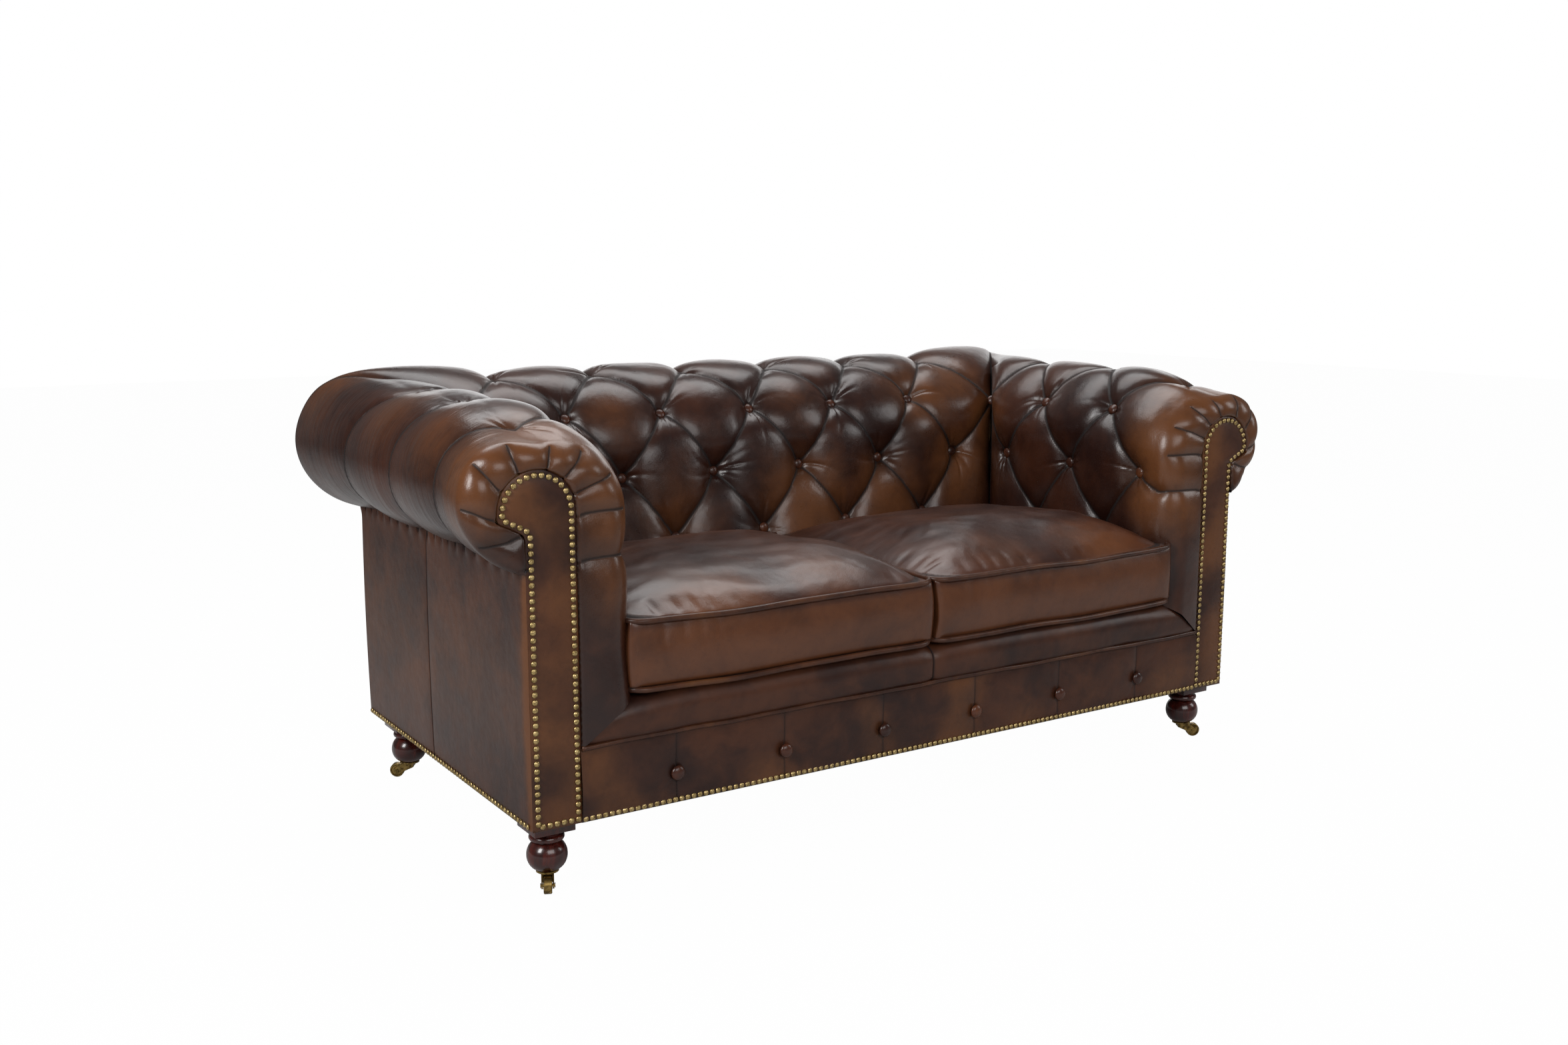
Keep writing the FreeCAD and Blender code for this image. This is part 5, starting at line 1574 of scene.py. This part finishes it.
def blow_up(cushion, spots):
    """Holds the seams and lets the cloth solver fill the cushion."""
    mesh = cushion.data
    across = (spots[:, 0] - CUSHION_MIDDLE[0]) / (CUSHION_SIZE[0] / 2)
    deep = (spots[:, 1] - CUSHION_MIDDLE[1]) / (CUSHION_SIZE[1] / 2)
    at_side = rounded_square_reach(across, deep) > 0.975
    lift = welt_lift(across, deep)
    top = np.abs(spots[:, 2] - lift - CUSHION_EDGE_TOP) < VOXEL
    foot = np.abs(spots[:, 2] - lift - CUSHION_FOOT) < VOXEL
    below = spots[:, 2] - lift < CUSHION_FOOT + VOXEL * 0.5
    seams = cushion.vertex_groups.new(name="seams")
    held = np.flatnonzero((at_side & (top | foot)) | below)
    seams.add([int(number) for number in held], 1.0, "REPLACE")
    cloth = cushion.modifiers.new("air", "CLOTH")
    cloth.settings.quality = 5
    cloth.settings.use_pressure = True
    cloth.settings.uniform_pressure_force = 4
    cloth.settings.effector_weights.gravity = 0
    cloth.settings.vertex_group_mass = "seams"
    cloth.settings.tension_stiffness = 30
    cloth.settings.bending_stiffness = 2
    for number in range(1, 16):
        bpy.context.scene.frame_set(number)
    bpy.context.view_layer.objects.active = cushion
    bpy.ops.object.modifier_apply(modifier="air")
    bpy.context.scene.frame_set(1)
    blown = np.empty(len(mesh.vertices) * 3)
    mesh.vertices.foreach_get("co", blown)
    blown = blown.reshape(-1, 3)
    moved = blown - spots
    far = np.linalg.norm(moved, axis=1, keepdims=True)
    blown = spots + moved * np.minimum(1, SWELL_CAP / np.maximum(far, 1e-9))
    mesh.vertices.foreach_set("co", blown.ravel())
    return blown


SWELL_CAP = 0.012
CUSHION_WELT = 0.005
BORDER_RUB = 0.55
CUSHION_RUBS = [
    ((-0.45, -0.42, 0.46), 0.12, 0.7),
    ((-0.20, -0.40, 0.47), 0.10, 0.5),
    ((0.25, -0.35, 0.49), 0.10, 0.4),
    ((-0.55, -0.45, 0.38), 0.12, 0.5),
]
cushion_left, cushion_spots = build_cushion("cushion_left_leather")
cushion_spots = blow_up(cushion_left, cushion_spots)
print("cushion points:", len(cushion_spots))


# %% Creases and welts of the cushions
def cushion_creases(spots, seed):
    """Creases that run in from the welt, and soft dents over the top."""
    across = (spots[:, 0] - CUSHION_MIDDLE[0]) / (CUSHION_SIZE[0] / 2)
    deep = (spots[:, 1] - CUSHION_MIDDLE[1]) / (CUSHION_SIZE[1] / 2)
    edge = np.clip(1 - rounded_square_reach(across, deep), 0, 1)
    on_top = np.clip((spots[:, 2] - CUSHION_EDGE_TOP) / 0.01, 0, 1)
    along = np.where(np.abs(deep) > np.abs(across), spots[:, 0], spots[:, 1])
    wave = np.abs(np.sin(along * 62 + 1.7 * np.sin(along * 23 + seed) + 0.9 * seed))
    size = np.clip(0.35 + 0.65 * np.sin(along * 9.5 + 2 * seed), 0, 1)
    band = np.exp(-(((edge - 0.07) / 0.06) ** 2))
    height = -0.0050 * (1 - wave) ** 2 * size * band * on_top
    loose = np.minimum(edge * 8, 1) * on_top
    height += 0.0050 * wander(spots, 6.0, seed) * loose
    height += 0.0022 * wander(spots * np.array([1.0, 1.8, 1.0]), 15.0, seed + 3) * loose
    on_side = np.clip(1 - edge / 0.03, 0, 1)
    below = CUSHION_EDGE_TOP - spots[:, 2]
    pulled = np.exp(-(((below - 0.022) / 0.018) ** 2)) * np.clip(np.sin(along * 8 + seed * 3), 0, 1)
    height -= 0.0030 * (1 - wave) ** 2 * pulled * on_side
    side_share = np.clip((spots[:, 2] - CUSHION_FOOT) / (CUSHION_EDGE_TOP - CUSHION_FOOT), 0, 1)
    height += 0.005 * np.sin(math.pi * side_share) * on_side
    height += 0.0020 * wander(spots, 9.0, seed + 5) * np.sin(math.pi * side_share) * on_side
    return height


def near_welt(spots):
    """0 where a welt is sewn in, and 1 away from it."""
    across = (spots[:, 0] - CUSHION_MIDDLE[0]) / (CUSHION_SIZE[0] / 2)
    deep = (spots[:, 1] - CUSHION_MIDDLE[1]) / (CUSHION_SIZE[1] / 2)
    lift = welt_lift(across, deep)
    level = spots[:, 2] - lift
    off_top = np.hypot(level - CUSHION_EDGE_TOP, (1 - rounded_square_reach(across, deep)) * 0.29)
    off_foot = np.abs(level - CUSHION_FOOT)
    return np.clip(np.minimum(off_top, off_foot) / 0.011 - 0.2, 0, 1)


def welt_loop(height, corner_out):
    """The seam round the cushion, as a closed line."""
    half_across, half_deep = CUSHION_SIZE[0] / 2, CUSHION_SIZE[1] / 2
    radius = CUSHION_CORNER
    line = []
    for number, (right, back) in enumerate([(1, 1), (-1, 1), (-1, -1), (1, -1)]):
        centre = (right * (half_across - radius), back * (half_deep - radius))
        line.append(round_line(centre, radius, 90 * number, 90 * number + 90, 9))
    line = np.concatenate(line)
    line = np.concatenate([line, line[:1]])
    along = line_length(line)
    fine = np.linspace(0, along[-1], 380)[:-1]
    x, y = np.interp(fine, along, line[:, 0]), np.interp(fine, along, line[:, 1])
    across, deep = x / half_across, y / half_deep
    z = height + welt_lift(across, deep) + 0.0006 * np.sin(fine * 31 + corner_out)
    grow = 1 + 0.0045 / half_across
    return np.stack([CUSHION_MIDDLE[0] + x * grow, CUSHION_MIDDLE[1] + y * grow, z], axis=1)


for side_name, side in {"left": -1, "right": 1}.items():
    if side < 0:
        cushion = cushion_left
    else:
        cushion = cushion_left.copy()
        cushion.data = cushion_left.data.copy()
        cushion.name = "cushion_right_leather"
        bpy.context.scene.collection.objects.link(cushion)
    spots = cushion_spots.copy()
    # Painted shadow: a thin dark line along each welt seam (line is 0 there).
    welt_shadow_paint = near_welt(spots)
    normals = np.empty(len(cushion.data.vertices) * 3)
    cushion.data.vertices.foreach_get("normal", normals)
    spots += normals.reshape(-1, 3) * cushion_creases(spots, 1.0 if side < 0 else 2.7)[:, None]
    if side < 0:
        spots[:, 0] *= -1
    cushion.data.vertices.foreach_set("co", spots.ravel())
    if side < 0:
        cushion.data.flip_normals()
    cushion.data.update()
    cushion.data.shade_smooth()
    cushion.vertex_groups.clear()
    cushion.data.materials.clear()
    cushion.data.materials.append(CUSHION_LEATHER)
    on_border = np.clip((CUSHION_EDGE_TOP - 0.004 - spots[:, 2]) / 0.01, 0, 1)
    rub = np.maximum(rubbed(spots, CUSHION_RUBS), BORDER_RUB * on_border)
    paint_on(cushion.data, {"rub": rub, "line": welt_shadow_paint})
    body = f"cushion_{side_name}"
    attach(cushion, body)
    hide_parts(f"cushion_cover_{side_name}", f"cushion_core_{side_name}")
    for place_name, height in {"top": CUSHION_EDGE_TOP, "foot": CUSHION_FOOT}.items():
        loop = welt_loop(height, side)
        if side < 0:
            loop = loop * np.array([-1, 1, 1])
            loop = loop[::-1]
        piping = tube(f"cushion_{side_name}_piping_{place_name}", loop, CUSHION_WELT, WELT_LEATHER, True)
        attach(piping, body)
print("cushions and their welts made")

# %% [markdown]
# Buttons
#
# The deep buttons sit where those of the frame sit. Each is a small leather-covered dome, turned
# so that it faces the way the leather under it faces. The ones in the corners sit on the mitre.

# %% Buttons
BUTTON_RADIUS = 0.0116
BUTTON_HEIGHT = 0.0060
BUTTON_STANDS_OUT = 0.0045
BORDER_BUTTON_SIZE = 1.12
bpy.ops.mesh.primitive_uv_sphere_add(segments=18, ring_count=12, radius=BUTTON_RADIUS)
dome = bpy.context.object
dome.scale = (1, 1, BUTTON_HEIGHT / BUTTON_RADIUS)
bpy.ops.object.transform_apply()
dome_spots = np.array([vertex.co[:] for vertex in dome.data.vertices])
dome_faces = [tuple(face.vertices) for face in dome.data.polygons]
bpy.data.objects.remove(dome)


def turned_copies(name, shape_spots, shape_faces, places, finish):
    """One piece made of copies of a small shape, each at a (point, direction)."""
    points, faces = [], []
    for point, outward in places:
        outward = np.asarray(outward, float) / np.linalg.norm(outward)
        side = np.cross((0.13, 0.29, 0.95), outward)
        side /= np.linalg.norm(side)
        up = np.cross(outward, side)
        first = len(points) * len(shape_spots)
        faces += [tuple(first + corner for corner in face) for face in shape_faces]
        points.append(np.asarray(point) + shape_spots @ np.stack([side, up, outward]))
    piece = smooth_piece(name, np.concatenate(points), faces, finish)
    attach(piece, "sofa")
    return piece


def facing_out(section, length):
    """The way the leather faces at a place on a section, as (inset, height)."""
    before, after = np.array(section.at(length - 0.002)), np.array(section.at(length + 0.002))
    step = (after - before) / np.linalg.norm(after - before)
    return step[1], -step[0]


def on_section(section, length, level):
    out = facing_out(section, length)
    inset, height = section.at(length)
    return inset + out[0] * level, height + out[1] * level, out


BUTTON_LEATHER = leather("button_leather", "2c140d", "4e2817", "6c4022", 12.0, 0.30, False, wax=0.05)
places = []
for along, length, level in back_spots:
    inset, height, out = on_section(back_section, length, level + BUTTON_STANDS_OUT)
    places.append(((along, REAR - inset, height), (0, -out[0], out[1])))
for side in (-1, 1):
    inset, height, out = on_section(back_section, corner_length, CORNER_LEVEL + 0.003)
    place = (side * (back_end(corner_length) - 0.004), REAR - inset, height)
    places.append((place, (-side * 0.7, -0.7, 0.4)))
deep_buttons = turned_copies("back_button_leather", dome_spots, dome_faces, places, BUTTON_LEATHER)
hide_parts("back_buttons")
for side_name, side in {"left": -1, "right": 1}.items():
    places = []
    for along, length, level in arm_spots:
        inset, height, out = on_section(arm_section, length, level + BUTTON_STANDS_OUT)
        places.append(((side * (HALF_WIDTH - inset), FRONT + along, height), (-side * out[0], 0, out[1])))
    name = f"arm_button_leather_{side_name}"
    deep_buttons = turned_copies(name, dome_spots, dome_faces, places, BUTTON_LEATHER)
    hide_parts(f"arm_buttons_{side_name}")
places = [((spot[0], FRONT - 0.0060, spot[2]), (0, -1, 0)) for spot in border_buttons]
border_spots = dome_spots * BORDER_BUTTON_SIZE
shallow = turned_copies("border_button_leather", border_spots, dome_faces, places, BUTTON_LEATHER)
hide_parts("border_buttons")
print("buttons:", len(back_spots) + 2, "on the back,", 2 * len(arm_spots), "on the arms")

# %% [markdown]
# Nails
#
# The sofa has more than five hundred brass nails. Each nail of the frame is a fine turned
# shape, far heavier than the picture needs, so one light dome is modelled and copied to every
# place where the frame has a nail. A nail's long side tells which way it was driven.

# %% Nails
NAIL_RADIUS = 0.0052
NAIL_HEIGHT = 0.0034
NAIL_STANDS_OUT = 0.0016
bpy.ops.mesh.primitive_uv_sphere_add(segments=10, ring_count=8, radius=NAIL_RADIUS)
nail = bpy.context.object
bpy.ops.object.mode_set(mode="EDIT")
bpy.ops.mesh.select_all(action="SELECT")
bpy.ops.mesh.bisect(plane_co=(0, 0, 0), plane_no=(0, 0, 1), clear_inner=True, use_fill=True)
bpy.ops.object.mode_set(mode="OBJECT")
nail.scale = (1, 1, NAIL_HEIGHT / NAIL_RADIUS)
bpy.ops.object.transform_apply()
nail_spots = np.array([vertex.co[:] for vertex in nail.data.vertices])
nail_faces = [tuple(face.vertices) for face in nail.data.polygons]
bpy.data.objects.remove(nail)


def nail_row(name, node, finish):
    low, high = separate_boxes(node)
    places = []
    for start, end in zip(low, high):
        middle = (start + end) / 2
        axis = (end - start).argmax()
        outward = np.zeros(3)
        outward[axis] = 1.0 if middle[axis] > 0 else -1.0
        head = middle + outward * ((end[axis] - start[axis]) / 2 - NAIL_HEIGHT + NAIL_STANDS_OUT)
        places.append((head, outward))
    piece = turned_copies(name, nail_spots, nail_faces, places, finish)
    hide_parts(node)
    print(name, len(low), "nails")
    return piece


def metal(name, bright, dull, tarnish_scale, gloss):
    finish = Finish(name)
    place = finish.coordinates()
    tarnish = finish.speckle(place, tarnish_scale, 4.0, 0.6)
    share = finish.steps(tarnish, 0.35, 0.7)
    finish.feed(base_color=finish.mix(share, colour(bright), colour(dull)))
    finish.feed(metallic=1.0, roughness=gloss + share * 0.22)
    scratches = finish.speckle(place, 900.0, 2.0)
    finish.feed(normal=finish.bumps(scratches, 0.0001, 0.3))
    return finish.material


NAIL_BRASS = metal("nail_brass", "c6ae7b", "6e5a33", 260.0, 0.38)
nail_row("border_nails", "base_nails", NAIL_BRASS)
nail_row("scroll_nails_left", "facing_nails_left", NAIL_BRASS)
nail_row("scroll_nails_right", "facing_nails_right", NAIL_BRASS)

# %% [markdown]
# Turned feet
#
# A foot is a square block with a bun turned below it. The bun is a profile spun round its own
# axis: a cove under the block, a narrow ring, and one full bulb that closes above the castor.

# %% Turned feet
BLOCK_SHARE = 0.22
COVE_SHARE = 0.07
RING_SHARE = 0.13
RING_WIDTH = 0.70
COVE_WIDTH = 0.62
COVE_TOP_WIDTH = 0.66
BUN_FULLNESS = 1.06


def foot_profile(radius, height):
    """Points (radius, height above the foot's base) of the turned part, from below upwards."""
    bulb = height * (1 - BLOCK_SHARE - COVE_SHARE - RING_SHARE)
    ring = height * RING_SHARE
    turn = np.radians(np.linspace(-68, 62, 26))
    bulb_line = np.stack([radius * np.cos(turn) ** 0.75, bulb * (0.5 + 0.54 * np.sin(turn))], axis=1)
    bulb_line[:, 1] -= bulb_line[0, 1]
    top = bulb_line[-1, 1]
    half = np.radians(np.linspace(-80, 80, 9))
    ring_out = radius * RING_WIDTH + ring / 2 * np.cos(half)
    ring_up = top + ring / 2 * (1 + np.sin(half))
    ring_line = np.stack([ring_out, ring_up], axis=1)
    above = top + ring
    cove_foot = above + 0.2 * (height - above)
    cove = [(radius * COVE_WIDTH, cove_foot), (radius * COVE_TOP_WIDTH, height * 0.86)]
    return np.concatenate([[(0.0, 0.0)], bulb_line, ring_line, cove, [(0.0, height * 0.9)]])


def turned_foot(name, node):
    low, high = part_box(node)
    height = high.z - low.z
    spots = np.array([vertex.co[:] for vertex in nodes[node].data.vertices])
    below = spots[spots[:, 2] < low.z + 0.5 * height]
    centre = (below.min(axis=0) + below.max(axis=0)) / 2
    radius = (below[:, 0].max() - below[:, 0].min()) / 2 * BUN_FULLNESS
    line = foot_profile(radius, height)
    mesh = bpy.data.meshes.new(name)
    corners = [(centre[0] + out, centre[1], low.z + up) for out, up in line]
    mesh.from_pydata(corners, [(number, number + 1) for number in range(len(line) - 1)], [])
    foot = bpy.data.objects.new(name, mesh)
    bpy.context.scene.collection.objects.link(foot)
    bpy.ops.object.select_all(action="DESELECT")
    foot.select_set(True)
    bpy.context.view_layer.objects.active = foot
    bpy.ops.object.mode_set(mode="EDIT")
    bpy.ops.mesh.select_all(action="SELECT")
    axis_point = (centre[0], centre[1], low.z)
    bpy.ops.mesh.spin(steps=40, angle=math.tau, center=axis_point, axis=(0, 0, 1))
    bpy.ops.mesh.remove_doubles(threshold=1e-5)
    bpy.ops.mesh.normals_make_consistent()
    bpy.ops.object.mode_set(mode="OBJECT")
    bpy.ops.mesh.primitive_cube_add(size=1)
    block = bpy.context.object
    block_height = height * BLOCK_SHARE
    block.scale = (high.x - low.x, high.y - low.y, block_height)
    block.location = ((high.x + low.x) / 2, (high.y + low.y) / 2, high.z - block_height / 2)
    bpy.ops.object.transform_apply()
    edge = block.modifiers.new("eased", "BEVEL")
    edge.width = 0.0012
    edge.segments = 2
    bpy.ops.object.modifier_apply(modifier="eased")
    foot.select_set(True)
    bpy.context.view_layer.objects.active = foot
    bpy.ops.object.join()
    foot.data.materials.clear()
    foot.data.materials.append(FOOT_WOOD)
    bpy.ops.object.shade_smooth_by_angle(angle=math.radians(35))
    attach(foot, "sofa")
    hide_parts(node)
    print(name, "radius", round(radius, 4), "height", round(height, 4), len(foot.data.polygons), "faces")


# %% [markdown]
# Finishes of the frame pieces
#
# What the frame already shapes well keeps its shape and only gets a finish: antique brass on
# the castors, and plain timber, jute and steel inside. The dark polished wood is for the
# turned feet.


# %% Finishes of the frame pieces
def wood(name, dark, light, grain_scale, gloss, coat):
    finish = Finish(name)
    place = finish.coordinates()
    lengthwise = finish.stretched(place, (grain_scale, grain_scale, grain_scale * 0.12))
    rings = finish.speckle(lengthwise, 1.0, 5.0, 0.6, 0.8)
    tint = finish.mix(finish.steps(rings, 0.32, 0.7), colour(dark), colour(light))
    finish.feed(base_color=tint, roughness=gloss + rings * 0.1)
    finish.feed(coat_weight=coat, coat_roughness=0.08)
    finish.feed(normal=finish.bumps(rings, 0.0003, 0.3))
    return finish.material


def cloth(name, dark, light, thread):
    finish = Finish(name)
    place = finish.coordinates()
    weave = finish.cells(place, thread)
    patches = finish.speckle(place, 9.0)
    tint = finish.mix(finish.steps(weave * 0.7 + patches * 0.5, 0.3, 0.8), colour(light), colour(dark))
    finish.feed(base_color=tint, roughness=0.92, normal=finish.bumps(weave, 0.0006, 0.8))
    return finish.material


FOOT_WOOD = wood("polished_foot", "230906", "47150d", 60.0, 0.2, 0.3)
for corner_name in ("front_left", "front_right", "rear_left", "rear_right"):
    turned_foot(f"turned_foot_{corner_name}", f"foot_{corner_name}")
FRAME_WOOD = wood("frame_timber", "8a6a45", "b99263", 22.0, 0.55, 0.0)
CASTOR_BRASS = metal("castor_brass", "a58a52", "4a3a20", 120.0, 0.3)
SPRING_STEEL = metal("spring_steel", "8d8f92", "5a5c60", 90.0, 0.35)
JUTE = cloth("foam_and_hessian", "7a6545", "a58f68", 420.0)
DUST_CLOTH = cloth("dust_cloth", "0d0c0c", "1c1b1b", 520.0)
FINISHES = {
    "foot_bolts": SPRING_STEEL,
    "castor_": CASTOR_BRASS,
    "seat_springs": SPRING_STEEL,
    "spring_clips": SPRING_STEEL,
    "dust_cover": DUST_CLOTH,
    "deck_pad": JUTE,
}
for node_name, piece in nodes.items():
    finish = next((f for start, f in FINISHES.items() if node_name.startswith(start)), FRAME_WOOD)
    piece.data.materials.clear()
    piece.data.materials.append(finish)
thinned = nodes["seat_springs"].modifiers.new("lighter", "DECIMATE")
thinned.ratio = 0.2
print("finishes given to", len(nodes), "frame pieces")

# %% [markdown]
# Floor and light
#
# A pale floor and soft boxes of light, as in a studio. Seen straight on, the floor and the world
# are white, and the light that falls on the leather stays moderate.


# %% Floor and light
def soft_box(place, target, size, energy):
    bpy.ops.object.light_add(type="AREA", location=place)
    lamp = bpy.context.object
    lamp.data.shape = "RECTANGLE"
    lamp.data.size, lamp.data.size_y = size
    lamp.data.energy = energy
    direction = Vector(target) - Vector(place)
    lamp.rotation_euler = direction.to_track_quat("-Z", "Y").to_euler()
    return lamp


soft_box((-3.1, -1.1, 2.1), (0, 0, 0.5), (0.9, 1.5), 80)
soft_box((0.3, 0.9, 3.0), (0, 0, 0.4), (3.0, 1.4), 62)
soft_box((-0.6, -3.8, 2.2), (0, 0, 0.4), (2.6, 1.6), 58)
soft_box((2.9, -1.9, 1.9), (0.3, 0, 0.5), (0.8, 1.6), 22)
soft_box((2.3, 3.4, 1.5), (0, 0, 0.5), (4.5, 1.8), 44)

SKY_STRENGTH = 0.14
FLOOR_GREY = (0.55, 0.55, 0.55, 1)
FLOOR_GLOW = 0.985
world = bpy.data.worlds.new("studio")
bpy.context.scene.world = world
world.use_nodes = True
sky = world.node_tree
sky_light = sky.nodes["Background"]
sky_light.inputs["Color"].default_value = (1, 1, 1, 1)
paths = sky.nodes.new("ShaderNodeLightPath")
seen = sky.nodes.new("ShaderNodeMath")
seen.operation = "MAXIMUM"
sky.links.new(paths.outputs["Is Camera Ray"], seen.inputs[0])
sky.links.new(paths.outputs["Is Transmission Ray"], seen.inputs[1])
level = sky.nodes.new("ShaderNodeMapRange")
level.inputs["To Min"].default_value = SKY_STRENGTH
level.inputs["To Max"].default_value = 1.0
sky.links.new(seen.outputs[0], level.inputs["Value"])
sky.links.new(level.outputs[0], sky_light.inputs["Strength"])

bpy.ops.mesh.primitive_plane_add(size=24, location=(0, 0, 0))
floor = bpy.context.object
floor.name = "floor"
paper = bpy.data.materials.new("studio_floor")
paper.use_nodes = True
ground = paper.node_tree
matt = ground.nodes["Principled BSDF"]
matt.inputs["Base Color"].default_value = FLOOR_GREY
matt.inputs["Roughness"].default_value = 0.9
glow = ground.nodes.new("ShaderNodeEmission")
join = ground.nodes.new("ShaderNodeMixShader")
camera_ray = ground.nodes.new("ShaderNodeLightPath")
dim = ground.nodes.new("ShaderNodeMath")
dim.operation = "MULTIPLY"
dim.inputs[1].default_value = FLOOR_GLOW
ground.links.new(camera_ray.outputs["Is Camera Ray"], dim.inputs[0])
ground.links.new(dim.outputs[0], join.inputs[0])
ground.links.new(matt.outputs[0], join.inputs[1])
ground.links.new(glow.outputs[0], join.inputs[2])
ground.links.new(join.outputs[0], ground.nodes["Material Output"].inputs[0])
floor.data.materials.append(paper)
print("lamps and floor ready")
